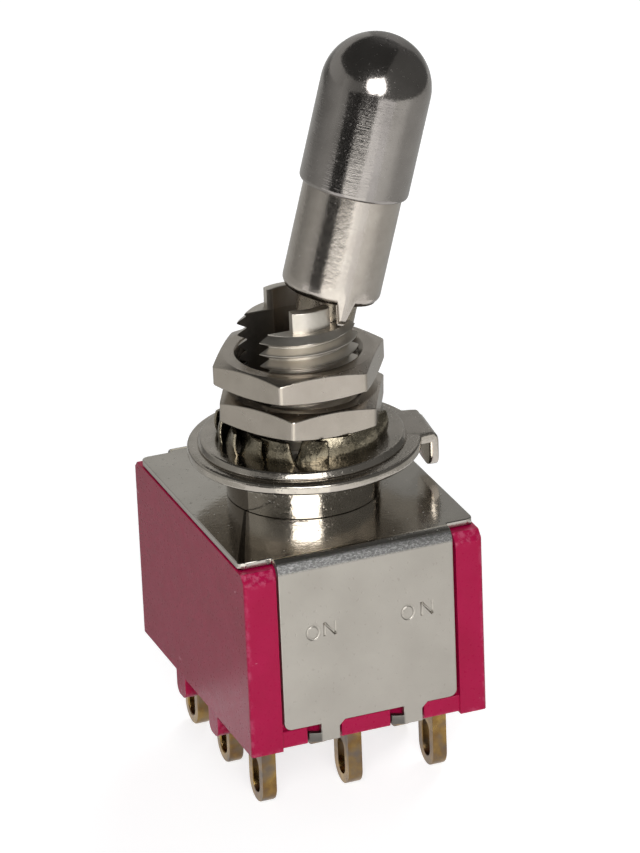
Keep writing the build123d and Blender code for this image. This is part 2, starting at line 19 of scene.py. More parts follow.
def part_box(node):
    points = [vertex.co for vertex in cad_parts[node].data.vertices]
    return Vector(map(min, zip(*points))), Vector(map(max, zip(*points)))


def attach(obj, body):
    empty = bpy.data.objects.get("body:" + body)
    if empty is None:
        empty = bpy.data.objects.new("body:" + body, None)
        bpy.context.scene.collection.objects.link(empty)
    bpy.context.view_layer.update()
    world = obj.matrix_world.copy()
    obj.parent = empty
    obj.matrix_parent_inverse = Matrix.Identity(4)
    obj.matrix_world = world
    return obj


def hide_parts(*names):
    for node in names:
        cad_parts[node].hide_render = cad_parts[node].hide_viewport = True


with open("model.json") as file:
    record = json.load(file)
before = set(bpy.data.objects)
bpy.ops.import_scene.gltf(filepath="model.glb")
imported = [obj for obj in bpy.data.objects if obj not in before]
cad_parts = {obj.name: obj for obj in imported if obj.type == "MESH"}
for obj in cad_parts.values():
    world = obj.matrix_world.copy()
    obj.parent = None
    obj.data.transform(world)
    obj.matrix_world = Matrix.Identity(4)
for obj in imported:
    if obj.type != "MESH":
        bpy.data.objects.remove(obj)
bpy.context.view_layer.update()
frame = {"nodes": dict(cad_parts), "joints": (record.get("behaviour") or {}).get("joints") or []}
MM = 0.001

# %% [markdown]
# ## Places taken from the frame
# A fixed frame means that no piece is fitted by eye. Each size below is read from a CAD node's box or from a
# joint, so the dressed pieces follow the model if it changes.

# %% Places and sizes, in metres
joints = {joint["name"]: joint for joint in frame["joints"]}
pivot = np.array(joints["lever_tilt"]["pos_m"])
lever_up = np.array(joints["sleeve_lift"]["axis"])
lever_up = lever_up / np.linalg.norm(lever_up)
lever_lean = math.atan2(lever_up[0], lever_up[2])
lever_place = Matrix.Translation(Vector(pivot)) @ Matrix.Rotation(lever_lean, 4, "Y")
still = Matrix.Identity(4)


def low(node):
    """Lowest corner of a CAD node's box."""
    return np.array(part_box(node)[0])


def high(node):
    """Highest corner of a CAD node's box."""
    return np.array(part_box(node)[1])


collar_radius = high("bushing")[0]
ear_top = high("bushing")[2]
washer_bottom = low("lock_washer")[2]
washer_radius = high("lock_washer")[0]
ring_thickness = 0.55 * MM
ring_bottom = washer_bottom - ring_thickness
case_high = high("case")
lug_tip = low("terminal_front_left")[2]
print("pivot height in mm:", round(pivot[2] / MM, 2), "lean in degrees:", round(math.degrees(lever_lean), 2))

# %% [markdown]
# ## Rounded corners
# The corners of a turned or pressed part are never knife-sharp: a small arc there catches a bright line of
# light, which is what tells the eye that the part is metal. A Bevel modifier could add such arcs afterwards,
# but an outline that already has them gives the mesh even rows of points. `rounded` puts an arc in each
# corner.

# %% Rounded outline
under_half = 0.49  # the share of a side that one arc may take, so that two arcs never meet


def rounded(corners, radii, steps=5):
    """Closed outline with an arc at each corner.

    A corner of radius f is replaced by points on the quadratic curve from f before it to f after it:
    (1-t)^2 * start + 2t(1-t) * corner + t^2 * end.
    """
    corners = np.asarray(corners, float)
    out = []
    count = len(corners)
    for i in range(count):
        radius = radii[i] if np.ndim(radii) else radii
        before, here, after = corners[i - 1], corners[i], corners[(i + 1) % count]
        to_before, to_after = before - here, after - here
        side_before, side_after = np.linalg.norm(to_before), np.linalg.norm(to_after)
        reach = min(radius, under_half * side_before, under_half * side_after)
        if reach <= 0:
            out.append(here[None])
            continue
        start = here + to_before / side_before * reach
        end = here + to_after / side_after * reach
        t = np.linspace(0, 1, steps)[:, None]
        out.append((1 - t) ** 2 * start + 2 * t * (1 - t) * here + t**2 * end)
    return np.vstack(out)


print("points of a rounded square:", len(rounded([(0, 0), (1, 0), (1, 1), (0, 1)], 0.1)))

# %% [markdown]
# ## Grids of points
# Turned parts are a profile carried round an axis, so one function of two parameters makes them all. Rows of
# the grid follow the profile and columns go round. A Screw modifier could do it too, but whole arrays also
# let the radius or the height change with the angle, as a thread, a bent lug or a tooth needs.

# %% Grids and turned shapes
def carried_round(radius, height, angle):
    """Points of a profile carried round the upright axis: (i, j) = (r_ij * cos a_j, r_ij * sin a_j, h_ij)."""
    sides = np.broadcast_arrays(radius * np.cos(angle), radius * np.sin(angle), height)
    return np.stack(sides, 2).reshape(-1, 3)


def grid_faces(rows, columns, wrap_rows, wrap_columns):
    """Quads of a rows by columns grid of points, with either direction closed on itself."""
    r = np.arange(rows if wrap_rows else rows - 1)
    c = np.arange(columns if wrap_columns else columns - 1)
    r, c = [numbers.ravel() for numbers in np.meshgrid(r, c, indexing="ij")]
    r2, c2 = (r + 1) % rows, (c + 1) % columns
    return np.stack([r * columns + c, r * columns + c2, r2 * columns + c2, r2 * columns + c], 1)


def turned(profile, columns):
    """Points and quads of a closed profile (radius, height), with columns evenly round the circle."""
    profile = np.asarray(profile, float)
    angle = np.arange(columns) / columns * 2 * math.pi
    return carried_round(profile[:, :1], profile[:, 1:], angle), grid_faces(len(profile), columns, True, True)


def closed_tube(rings, first=0):
    """Points and faces of a tube of rings of points, with a fan at each end; its points count from first."""
    rows, columns = rings.shape[:2]
    points = np.vstack([rings.reshape(-1, 3), rings[0].mean(0)[None], rings[-1].mean(0)[None]])
    faces = (grid_faces(rows, columns, False, True) + first).tolist()
    start, end = first + rows * columns, first + rows * columns + 1
    last = first + (rows - 1) * columns
    faces += [(start, first + (c + 1) % columns, first + c) for c in range(columns)]
    faces += [(end, last + c, last + (c + 1) % columns) for c in range(columns)]
    return points, faces


print("quads of a small closed grid:", len(grid_faces(3, 4, True, True)))

# %% [markdown]
# ## From arrays to a piece
# Every new piece goes through one function, so none is left without its body and clean faces.
# Points that lie on each other are merged, which closes seams and poles, and only then are the faces turned
# outwards.

# %% New piece
weld_distance = 2e-7  # in metres, far below any real detail
crease_degrees = 35.0


def new_object(name, data):
    """Object at the origin of the scene that holds the data."""
    made = bpy.data.objects.new(name, data)
    bpy.context.scene.collection.objects.link(made)
    return made


def new_piece(name, points, faces, body, replaces=(), place=still, sharp=crease_degrees):
    """Mesh object from arrays: merges doubles, points faces outwards and marks edges over sharp degrees."""
    mesh = bpy.data.meshes.new(name)
    mesh.from_pydata(np.asarray(points, float).tolist(), [], np.asarray(faces).tolist())
    mesh.transform(place)
    work = bmesh.new()
    work.from_mesh(mesh)
    bmesh.ops.remove_doubles(work, verts=work.verts, dist=weld_distance)
    bmesh.ops.dissolve_degenerate(work, dist=weld_distance / 2, edges=work.edges)
    bmesh.ops.recalc_face_normals(work, faces=work.faces)
    work.to_mesh(mesh)
    work.free()
    mesh.shade_smooth()
    mesh.set_sharp_from_angle(angle=math.radians(sharp))
    piece = new_object(name, mesh)
    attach(piece, body)
    if replaces:
        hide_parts(*replaces)
    print(f"{name}: {len(mesh.vertices)} points, {len(mesh.polygons)} faces")
    return piece


def wear(piece, material):
    """Gives a piece one material."""
    piece.data.materials.clear()
    piece.data.materials.append(material)
    return piece


print("welding within", weld_distance, "m")

# %% [markdown]
# ## Colour and nodes
# Colours are written as sRGB hex, as a designer reads them off a sample, and turned to linear light once.
# `node` adds any shader node with its settings and links, so a material reads as a short list of steps. Nodes
# could be laid out by hand in the editor instead, but a list of steps is easier to read and to change.

# %% Colour and node helpers
def linear(hex_colour):
    """sRGB hex to linear RGBA: below 0.04045 divide by 12.92, above it ((c + 0.055) / 1.055) ^ 2.4."""
    channels = [int(hex_colour[i : i + 2], 16) / 255 for i in (1, 3, 5)]
    return [c / 12.92 if c <= 0.04045 else ((c + 0.055) / 1.055) ** 2.4 for c in channels] + [1.0]


def fill(socket, value):
    """Links a socket to another node's output, or sets it to a plain value."""
    if isinstance(value, bpy.types.NodeSocket):
        socket.id_data.links.new(value, socket)
    else:
        socket.default_value = value


def node(tree, kind, *values, out=0, **settings):
    """Adds one shader node, fills its open inputs in order, and returns the output out, or "all" of them.

    A second word in kind, as in "Math ADD", is the node's operation, or the data type of a Mix node.
    """
    kind, *word = kind.split()
    made = tree.nodes.new("ShaderNode" + kind)
    if word:
        settings["data_type" if kind == "Mix" else "operation"] = word[0]
    for key, value in settings.items():
        setattr(made, key, value)
    for socket, value in zip([socket for socket in made.inputs if socket.enabled], values):
        fill(socket, value)
    if out == "all":
        return made.outputs
    return made.outputs[out] if out else [socket for socket in made.outputs if socket.enabled][0]


def new_material(name):
    """Empty material: returns it, an `add` that adds nodes to it, and its Principled shader."""
    material = bpy.data.materials.new(name)
    material.use_nodes = True
    tree = material.node_tree
    return material, partial(node, tree), tree.nodes["Principled BSDF"]


def feed(shader, sockets):
    """Fills sockets of a shader, given by name."""
    for name, value in sockets.items():
        fill(shader.inputs[name], value)


print("linear middle grey:", round(linear("#808080")[0], 3))

# %% [markdown]
# ## Patterns counted in millimetres
# Each pattern's scale comes from a real size, so the materials count in millimetres of the object's own
# coordinates. A pattern on the lever is read in the lever's frame, which leans, so turning lines stay square
# to it.

# %% Patterns and relief
def millimetres(add, place=None):
    """Object coordinates counted in millimetres, and turned into the lever's own frame where place says so."""
    here = add("TexCoord", out="Object")
    if place is not None:
        location, turn, _ = place.decompose()
        here = add("Mapping", here, location, turn.to_euler(), vector_type="TEXTURE")
    return add("VectorMath SCALE", here, 1 / MM)


def mottle(add, where, per_mm, detail=3.0, rough=0.5, stretch=(1, 1, 1)):
    """Uneven patches between 0 and 1, with per_mm of them in a millimetre times a factor for each axis."""
    spread = add("VectorMath MULTIPLY", where, stretch)
    return add("TexNoise", spread, per_mm, detail, rough)


def raise_surface(add, shader, height, depth_mm):
    """Shades the surface as if it stood depth_mm proud where height is 1."""
    strength, filter_width = 1.0, 0.1
    feed(shader, {"Normal": add("Bump", strength, depth_mm * MM, filter_width, height)})


print("patterns ready")

# %% [markdown]
# ## Plated metal
# The bushing, nuts and washers are brass or steel under bright nickel. Nickel is a warm, slightly yellow grey
# mirror. Its plating copies the machined surface below it: faint waviness, small pits, and on turned parts
# fine rings. A metal keeps Metallic at 1 and the default IOR, and its colour is the colour of its reflection.

# %% Marks of the cutting tools and painted shade in the bore
# Each pair is where a mark begins to show and where it is full, in mm from the axis or above the plate.
slot_side_mm = (1.62, 1.58)
mouth_side_mm = (2.6, 2.5)
below_ears_mm = (9.44, 9.38)
ear_inside_mm = (1.85, 1.75)


def tool_marks_and_bore_shade(add, where, cut_radius_mm, colour, level):
    """Colour and roughness of the bushing with the marks of the tools that cut it.

    Inside cut_radius_mm of the upright axis a thread die or a drill cut the metal, which leaves it duller. The
    slot, the bore and the ears' inner faces get painted shade, a dark brown mixed into the colour.
    """
    flat = add("VectorMath MULTIPLY", where, (1, 1, 0))
    from_axis = add("VectorMath LENGTH", flat)
    cut = add("MapRange", from_axis, cut_radius_mm, cut_radius_mm + 0.05, 0.2, 0.0)
    _, depth, height_mm = add("SeparateXYZ", where, out="all")
    in_slot = add("MapRange", add("Math ABSOLUTE", depth), *slot_side_mm)
    inside = add("Math MAXIMUM", in_slot, add("MapRange", from_axis, *mouth_side_mm))
    below_ears = add("MapRange", height_mm, *below_ears_mm, 0.0, 0.7)
    in_ears = add("MapRange", from_axis, *ear_inside_mm, 0.0, 0.6)
    inside = add("Math MAXIMUM", add("Math MULTIPLY", inside, below_ears), in_ears)
    # Painted shade: the dark brown mixed in where inside is 1, in the slot, the bore and the ears.
    return add("Mix RGBA", inside, colour, linear("#463B31")), add("Math ADD", level, cut)


print("tool marks ready")

# %% [markdown]
# ## One recipe for every plated finish
# The finishes differ only in tone, gloss and the scale of their pits, ripples and rings, so one function
# makes them. Ripples a few microns high tilt the mirror by two or three degrees, which breaks up the rim of
# each reflection. Real turning lines are finer than the render can show, so they are drawn a few times
# coarser.

# %% Plated finishes
ring_fade_mm = (17.3, 18.1)  # heights in the lever's frame between which the turning lines give way to the dome


def plated_metal(
    name, tone, shade, roughness, wave=0.009, pits_per_mm=7.0, rings_per_mm=0.0, fine_per_mm=12.0, swing=0.3,
    cut_radius_mm=0.0, place=None,
):
    """Bright plating: tone with patches of shade, a roughness that swings by a share of itself, and relief.

    Relief = wave * (two sizes of ripple - 0.3 * pits + rings), with wave in mm and the rest about 0 to 1.
    """
    material, add, shader = new_material(name)
    where = millimetres(add, place)
    patches = add("MapRange", mottle(add, where, 0.9, 4.0), 0.35, 0.7)
    colour = add("Mix RGBA", patches, linear(tone), linear(shade))
    pits = add("MapRange", mottle(add, where, pits_per_mm, 1.0), 0.66, 0.74)
    least, most = roughness * (1 - swing), roughness * (1 + swing)
    level = add("MapRange", mottle(add, where, fine_per_mm, 2.0), 0.3, 0.7, least, most)
    level = add("Math ADD", level, add("Math MULTIPLY", pits, swing * 0.4))
    if cut_radius_mm:
        colour, level = tool_marks_and_bore_shade(add, where, cut_radius_mm, colour, level)
    feed(shader, {"Base Color": colour, "Metallic": 1.0, "Roughness": level})
    height = add("Math ADD", mottle(add, where, 1.1, 2.0), mottle(add, where, 4.0, 1.0))
    height = add("Math SUBTRACT", height, add("Math MULTIPLY", pits, 0.3))
    if rings_per_mm:
        along = add("SeparateXYZ", where, out="Z")
        rings = mottle(add, where, 1.0, 3.0, 0.7, (0.9, 0.9, rings_per_mm))
        turned_part = add("MapRange", along, *ring_fade_mm, 1.6, 0.0)
        height = add("Math ADD", height, add("Math MULTIPLY", rings, turned_part))
    raise_surface(add, shader, height, wave)
    return material


bright_nickel = plated_metal(
    "bright nickel on turned brass", "#CAC4BB", "#BBB5AB", 0.14, wave=0.008, cut_radius_mm=3.2
)
nut_nickel = plated_metal(
    "satin nickel on milled brass", "#AFA79D", "#A69E94", 0.24, wave=0.001, pits_per_mm=3.0, fine_per_mm=3.0,
    swing=0.06,
)
washer_nickel = plated_metal("bright nickel on stamped steel", "#B4ADA4", "#A59F96", 0.18)
# The blades' dark colour is partly their own duller, warmer tone and partly painted shade for their place under
# the lower nut.
shaded_blade_nickel = plated_metal("dark nickel on sheared steel with painted shade", "#8F8776", "#5F5849", 0.28, wave=0.028)
cap_chrome = plated_metal(
    "polished nickel on turned brass", "#9C9793", "#928D89", 0.15, wave=0.004, pits_per_mm=6.0,
    rings_per_mm=12.0, place=lever_place,
)
sleeve_chrome = plated_metal(
    "polished nickel, lightly pitted", "#B9B2AA", "#AEA69E", 0.19, wave=0.005, pits_per_mm=8.0,
    fine_per_mm=6.0, swing=0.15, place=lever_place,
)
stem_steel = plated_metal(
    "plated stem steel", "#A1978A", "#877E6F", 0.3, wave=0.004, rings_per_mm=14.0, place=lever_place
)
spring_steel = plated_metal("drawn spring steel", "#9A9A9C", "#808083", 0.25)
contact_silver = plated_metal("silver-plated contact strip", "#C9C1AA", "#B0A68C", 0.28)
print("metals made:", len(bpy.data.materials))

# %% [markdown]
# ## Folded frame steel
# The frame is one nickel-plated steel sheet. Its top stays a mirror, while the legs are satin from the rolling
# mill, and the hooks carry painted shade, a dark grey mixed into their colour. A painted mask could say which
# is which, but height and depth are enough, because the folds run level along both outer faces.

# %% Frame colours
# Each pair is where a mark begins to show and where it is full, in mm.
leg_below_mm = (-0.6, -0.02)
hook_middles_mm = (-2.91, 1.59)
hook_half_mm = (0.38, 0.28)
hook_top_mm = (-9.55, -9.7)

frame_steel, add, shader = new_material("nickel-plated folded steel")
where = millimetres(add)
across, depth, height_mm = add("SeparateXYZ", where, out="all")
from_middle = add("Math ABSOLUTE", depth)
on_leg = add("MapRange", height_mm, *leg_below_mm, 1.0, 0.0)
patches = add("MapRange", mottle(add, where, 0.35, 4.0), 0.3, 0.7)
leg_colour = add("Mix RGBA", patches, linear("#AEA9A1"), linear("#A49F97"))
plate_colour = add("Mix RGBA", patches, linear("#C0BBB3"), linear("#B6B1A9"))
sheet_colour = add("Mix RGBA", on_leg, plate_colour, leg_colour)
from_hooks = [add("Math ABSOLUTE", add("Math SUBTRACT", across, middle)) for middle in hook_middles_mm]
painted_hook_shade = add("MapRange", add("Math MINIMUM", *from_hooks), *hook_half_mm)
painted_hook_shade = add("Math MULTIPLY", painted_hook_shade, add("MapRange", height_mm, *hook_top_mm))
painted_hook_shade = add("Math MULTIPLY", painted_hook_shade, 0.75)
# Painted shade: the hooks' colour is darkened towards a dark grey.
sheet_colour = add("Mix RGBA", painted_hook_shade, sheet_colour, linear("#3F3E3C"))
print("sheet colours made")

# %% [markdown]
# ## The galled fold
# Drag marks are a fine noise, stretched twice as long along the fold as across it. Two clamped ramps on height
# keep them to the fold, and a third keeps them to the outer faces. Along the plate's edge a warm near-white
# strip is a painted highlight.

# %% Fold band and painted edge highlight
band_top_mm = (-0.10, -0.2)
band_foot_mm = (-0.72, -0.56)
outer_face_mm = (7.35, 7.6)
highlight_depth_mm = 7.47
highlight_half_mm = (0.06, 0.02)
highlight_foot_mm = (-0.4, -0.3)

drag = mottle(add, where, 1.0, 4.0, 0.75, (7.0, 12.0, 15.0))
band = add("MapRange", height_mm, *band_top_mm)
band = add("Math MULTIPLY", band, add("MapRange", height_mm, *band_foot_mm))
band = add("Math MULTIPLY", band, add("MapRange", from_middle, *outer_face_mm))
galled = add("Math MULTIPLY", band, add("MapRange", drag, 0.3, 0.5, 0.6, 1.0))
band_tone = add("MapRange", drag, 0.42, 0.62)
band_colour = add("Mix RGBA", band_tone, linear("#595A5B"), linear("#AEADAB"))
sheet_colour = add("Mix RGBA", galled, sheet_colour, band_colour)
from_highlight_line = add("Math ABSOLUTE", add("Math SUBTRACT", from_middle, highlight_depth_mm))
painted_edge_highlight = add("MapRange", from_highlight_line, *highlight_half_mm)
ragged_end = add("Math ADD", across, drag)
painted_edge_highlight = add("Math MULTIPLY", painted_edge_highlight, add("MapRange", ragged_end, -0.6, -1.6, 0.25, 1.0))
painted_edge_highlight = add("Math MULTIPLY", painted_edge_highlight, add("MapRange", height_mm, *highlight_foot_mm))
# Painted highlight: a warm near-white strip along the plate's front edge.
sheet_colour = add("Mix RGBA", painted_edge_highlight, sheet_colour, linear("#F1E6CC"))
feed(shader, {"Base Color": sheet_colour, "Metallic": 1.0})
print("fold band made")

# %% [markdown]
# ## Gloss and relief of the sheet
# The plate is far glossier than the legs, whose fine level grain comes from rolling. Specks, the galled band
# and the painted highlight strip are all rougher than the plating round them, so each adds to the roughness.

# %% Frame gloss and relief
specks = add("MapRange", mottle(add, where, 5.0, 1.0), 0.68, 0.76)
level = add("MapRange", on_leg, 0.0, 1.0, 0.13, 0.42)
level = add("Math ADD", level, add("Math MULTIPLY", specks, 0.15))
# worn covers the galled band, which is real wear, and the painted highlight strip, which is made rougher too.
worn = add("Math MAXIMUM", galled, painted_edge_highlight)
level = add("Math ADD", level, add("Math MULTIPLY", worn, 0.3))
feed(shader, {"Roughness": level})
grain = mottle(add, where, 1.0, 3.0, 0.6, (2.0, 2.0, 14.0))
ripple = add("Math ADD", mottle(add, where, 1.1, 2.0), mottle(add, where, 4.0, 1.0))
ripple = add("Math MULTIPLY", ripple, add("MapRange", on_leg, 0.0, 1.0, 0.3, 0.2))
relief = add("Math MULTIPLY", grain, 0.25)
relief = add("Math ADD", relief, add("Math MULTIPLY", galled, drag))
relief = add("Math ADD", relief, ripple)
relief = add("Math SUBTRACT", relief, add("Math MULTIPLY", specks, 0.5))
raise_surface(add, shader, relief, 0.012)
print("frame steel made")

# %% [markdown]
# ## Moulded crimson plastic
# The case is a glass-filled moulding in crimson. It has a low satin gloss and faint flow marks, its corners
# are scuffed pale where they rubbed, and a few tiny white scratches cross the faces. Edges are found by
# adding distances: near the corner of a box, the sum of two coordinates comes close to the sum of the two
# half sizes.

# %% Case material
top_wear_mm = (-0.75, -0.3)
corner_wear_mm = (-0.26, -0.1)
foot_depth_mm = 10.35
foot_wear_mm = (0.28, 0.08)

case_plastic, add, shader = new_material("satin moulded crimson plastic")
where = millimetres(add)
across, depth, height_mm = add("SeparateXYZ", where, out="all")
side = add("Math SUBTRACT", add("Math ABSOLUTE", across), case_high[0] / MM)
face = add("Math SUBTRACT", add("Math ABSOLUTE", depth), case_high[1] / MM)
up = add("Math SUBTRACT", height_mm, case_high[2] / MM)
flow = add("MapRange", mottle(add, where, 0.5, 4.0), 0.3, 0.7)
body_colour = add("Mix RGBA", flow, linear("#A5083F"), linear("#AD0D46"))
top_edge = add("MapRange", add("Math ADD", face, up), *top_wear_mm)
corner = add("MapRange", add("Math ADD", side, face), *corner_wear_mm, 0.0, 0.55)
foot = add("MapRange", add("Math ADD", height_mm, foot_depth_mm), *foot_wear_mm, 0.0, 0.5)
near_edge = add("Math MAXIMUM", add("Math MAXIMUM", top_edge, corner), foot)
ragged = add("MapRange", mottle(add, where, 2.6, 5.0, 0.7), 0.47, 0.6)
scuffed = add("Math MULTIPLY", near_edge, ragged)
colour = add("Mix RGBA", add("Math MULTIPLY", scuffed, 0.6), body_colour, linear("#CF6E8C"))
nicks = add("MapRange", mottle(add, where, 1.0, 2.0, 0.5, (1.1, 1.1, 2.6)), 0.735, 0.765)
colour = add("Mix RGBA", add("Math MULTIPLY", nicks, 0.75), colour, linear("#E3A9B8"))
level = add("MapRange", mottle(add, where, 6.0, 2.0), 0.3, 0.7, 0.26, 0.36)
level = add("Math ADD", level, add("Math MULTIPLY", scuffed, 0.2))
feed(shader, {"Base Color": colour, "Roughness": level, "IOR": 1.52, "Specular IOR Level": 0.2})
relief = add("Math MULTIPLY", scuffed, 0.8)
relief = add("Math SUBTRACT", mottle(add, where, 0.8, 3.0), relief)
raise_surface(add, shader, relief, 0.02)
print("case plastic made")

# %% [markdown]
# ## Tarnished lugs
# The solder lugs are brass with a thin gold flash. Handling leaves a grey-green film on the flats, worn back
# to yellow on the edges. The film is a blotchy noise that also dulls the gloss.

# %% Lug material
lug_gold, add, shader = new_material("tarnished gold flash on brass")
where = millimetres(add)
film = add("MapRange", mottle(add, where, 0.55, 4.0, 0.6), 0.36, 0.66)
warm = add("MapRange", mottle(add, where, 1.4, 3.0), 0.35, 0.65)
warm = add("Mix RGBA", warm, linear("#A4864A"), linear("#7E6138"))
cloud = add("MapRange", mottle(add, where, 1.1, 2.0), 0.4, 0.6)
cloud = add("Mix RGBA", cloud, linear("#66513C"), linear("#6B6158"))
colour = add("Mix RGBA", film, warm, cloud)
level = add("MapRange", film, 0.0, 1.0, 0.22, 0.42)
feed(shader, {"Base Color": colour, "Metallic": 1.0, "Roughness": level})
raise_surface(add, shader, mottle(add, where, 3.0, 3.0), 0.006)
print("lug gold made")

# %% [markdown]
# ## Resin and nylon
# The lugs are sealed in cast black epoxy, and the plungers slide in a bar of natural nylon. Both are inside,
# so one short recipe of two close tones over a faintly uneven skin is enough for them.

# %% Resin and moulded-bar materials
def plain_plastic(name, tone, shade, roughness):
    """Moulded or cast plastic: two close tones in soft patches over a faintly uneven surface."""
    material, add, shader = new_material(name)
    where = millimetres(add)
    patches = add("MapRange", mottle(add, where, 0.7, 3.0), 0.35, 0.65)
    colour = add("Mix RGBA", patches, linear(tone), linear(shade))
    fine = mottle(add, where, 8.0, 2.0)
    level = add("MapRange", fine, 0.3, 0.7, roughness * 0.8, roughness * 1.2)
    feed(shader, {"Base Color": colour, "Roughness": level})
    raise_surface(add, shader, fine, 0.004)
    return material


seal_resin = plain_plastic("cast black epoxy", "#1E1C1C", "#262322", 0.3)
holder_nylon = plain_plastic("moulded natural nylon", "#E4DFD0", "#D8D2C0", 0.4)
print("materials:", len(bpy.data.materials))

# %% [markdown]
# ## Camera first
# The photograph was solved as a perspective view from slightly left of the front and above, through a long
# lens. The camera goes in before the pieces, so that every render can be laid beside the photograph.

# %% Camera
photo_height = 853
focal_pixels = 4988.3
sensor_mm = 36.0
camera_place = Vector((-80.404, -218.511, 105.032)) * MM
camera_right = Vector((0.93049, -0.36434, -0.03797))
camera_up = Vector((0.17842, 0.36027, 0.91563))
camera_back = camera_right.cross(camera_up)
camera_data = bpy.data.cameras.new("camera")
camera_data.sensor_width = sensor_mm
camera_data.lens = focal_pixels / photo_height * sensor_mm
camera_data.clip_start = 0.01
camera = new_object("camera", camera_data)
turn = Matrix((camera_right, camera_up, camera_back)).transposed().to_4x4()
camera.matrix_world = Matrix.Translation(camera_place) @ turn
bpy.context.scene.camera = camera
print("lens in mm:", round(camera_data.lens, 1))

# %% [markdown]
# ## Modifiers made final
# A copy is finished by modifiers, but two things need the finished mesh itself: level and upright faces have
# to be shaded flat, or the rounded edges beside them bend their reflections, and a Boolean's cutter has to
# go. So the modifiers' result takes the place of the mesh.

# %% Cutting and settling
def add_cut(piece, cutter):
    """Exact Boolean that takes the cutter away from the piece."""
    cut = piece.modifiers.new("cut", "BOOLEAN")
    cut.object = cutter
    cut.solver = "EXACT"
    cut.use_self = True


def apply_modifiers(piece, sharp):
    """Puts what the modifiers make in place of the piece's mesh, with edges over sharp degrees left crisp."""
    graph = bpy.context.evaluated_depsgraph_get()
    finished = bpy.data.meshes.new_from_object(piece.evaluated_get(graph))
    piece.modifiers.clear()
    old, piece.data = piece.data, finished
    bpy.data.meshes.remove(old)
    finished.set_sharp_from_angle(angle=math.radians(sharp))
    return finished


def flatten_planes(mesh):
    """Shades level and upright faces flat: those whose normal lies along an axis to a quarter of a degree."""
    normals = np.empty(len(mesh.polygons) * 3, np.float32)
    mesh.polygons.foreach_get("normal", normals)
    mesh.polygons.foreach_set("use_smooth", np.abs(normals.reshape(-1, 3)).max(1) < 0.99999)
    mesh.update()


print("modifier helpers ready")

# %% [markdown]
# ## Finer copies of folded and moulded pieces
# A case, a bent sheet and a lug are already right in their outline. What they lack is the small radius on
# every edge. A copy of the CAD mesh is welded, its flat triangles are joined into whole faces, and a Bevel
# modifier rounds what is sharp. To model them afresh would only risk another outline.

# %% Copies with rounded edges
cad_weld_distance = 1e-6  # in metres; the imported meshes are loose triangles
flat_degrees, sharp_degrees, settled_degrees = 0.6, 32.0, 38.0


def finer_copy(node_name, bevel_mm, reshape=None, cutter=None):
    """Welded copy of a fixed CAD node whose sharp edges get a bevel of bevel_mm; it replaces the node.

    reshape moves an array of points, and cutter is taken away from the rounded shape.
    """
    source = frame["nodes"][node_name]
    work = bmesh.new()
    work.from_mesh(source.data)
    bmesh.ops.transform(work, matrix=source.matrix_world, verts=work.verts)
    bmesh.ops.remove_doubles(work, verts=work.verts, dist=cad_weld_distance)
    flat_angle = math.radians(flat_degrees)
    bmesh.ops.dissolve_limit(work, angle_limit=flat_angle, verts=work.verts, edges=work.edges)
    mesh = bpy.data.meshes.new(node_name + "_finished")
    work.to_mesh(mesh)
    work.free()
    if reshape:
        points = np.empty(len(mesh.vertices) * 3, np.float32)
        mesh.vertices.foreach_get("co", points)
        mesh.vertices.foreach_set("co", reshape(points.reshape(-1, 3)).ravel())
    mesh.shade_smooth()
    mesh.set_sharp_from_angle(angle=math.radians(sharp_degrees))
    piece = new_object(node_name + "_finished", mesh)
    rounding = piece.modifiers.new("rounding", "BEVEL")
    rounding.width = bevel_mm * MM
    rounding.segments = 3
    rounding.limit_method = "ANGLE"
    rounding.angle_limit = math.radians(sharp_degrees)
    if cutter:
        add_cut(piece, cutter)
    flatten_planes(apply_modifiers(piece, settled_degrees))
    if cutter:
        bpy.data.objects.remove(cutter)
    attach(piece, "base")
    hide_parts(node_name)
    print(f"{piece.name}: {len(piece.data.polygons)} faces")
    return piece


wear(finer_copy("case", 0.07), case_plastic)

# %% [markdown]
# ## Stamped words
# A stamp leaves a V-shaped groove in the steel. Each stroke of a letter is a diamond carried along a path,
# and all strokes together are taken away from the sheet by a Boolean, so the words are real dents that catch
# the light. A Text object would give printed letters of even width instead.

# %% Strokes and letters
def stroke(path, half_width, depth, closed=False):
    """Stamp's stroke: at each point of an x, z path a diamond, half_width to each side and depth in and out."""
    path = np.asarray(path, float)
    along = np.roll(path, -1, 0) - np.roll(path, 1, 0) if closed else np.gradient(path, axis=0)
    along /= np.linalg.norm(along, axis=1)[:, None]
    sideways = np.stack([-along[:, 1], 0 * along[:, 0], along[:, 0]], 1) * half_width
    inwards = np.array([0, depth, 0])
    middle = np.stack([path[:, 0], 0 * path[:, 0], path[:, 1]], 1)
    points = np.stack([middle + sideways, middle + inwards, middle - sideways, middle - inwards], 1)
    faces = grid_faces(len(path), 4, closed, True).tolist()
    if not closed:
        last = (len(path) - 1) * 4
        faces += [(0, 1, 2, 3), (last + 3, last + 2, last + 1, last)]
    return points.reshape(-1, 3), faces


def letter_strokes(letter, x, z, height, width, half_width, depth):
    """Strokes of a letter round its middle x, z: an ellipse for O, and three straight lines for N."""
    left, right = x - width / 2, x + width / 2
    foot, head = z - height / 2, z + height / 2
    if letter == "O":
        turn = np.linspace(0, 2 * math.pi, 33)[:-1]
        loop = np.stack([x + width * 0.56 * np.cos(turn), z + height / 2 * np.sin(turn)], 1)
        return [stroke(loop, half_width, depth, True)]
    lines = [[(left, foot), (left, head)], [(left, head), (right, foot)], [(right, foot), (right, head)]]
    return [stroke(line, half_width, depth) for line in lines]


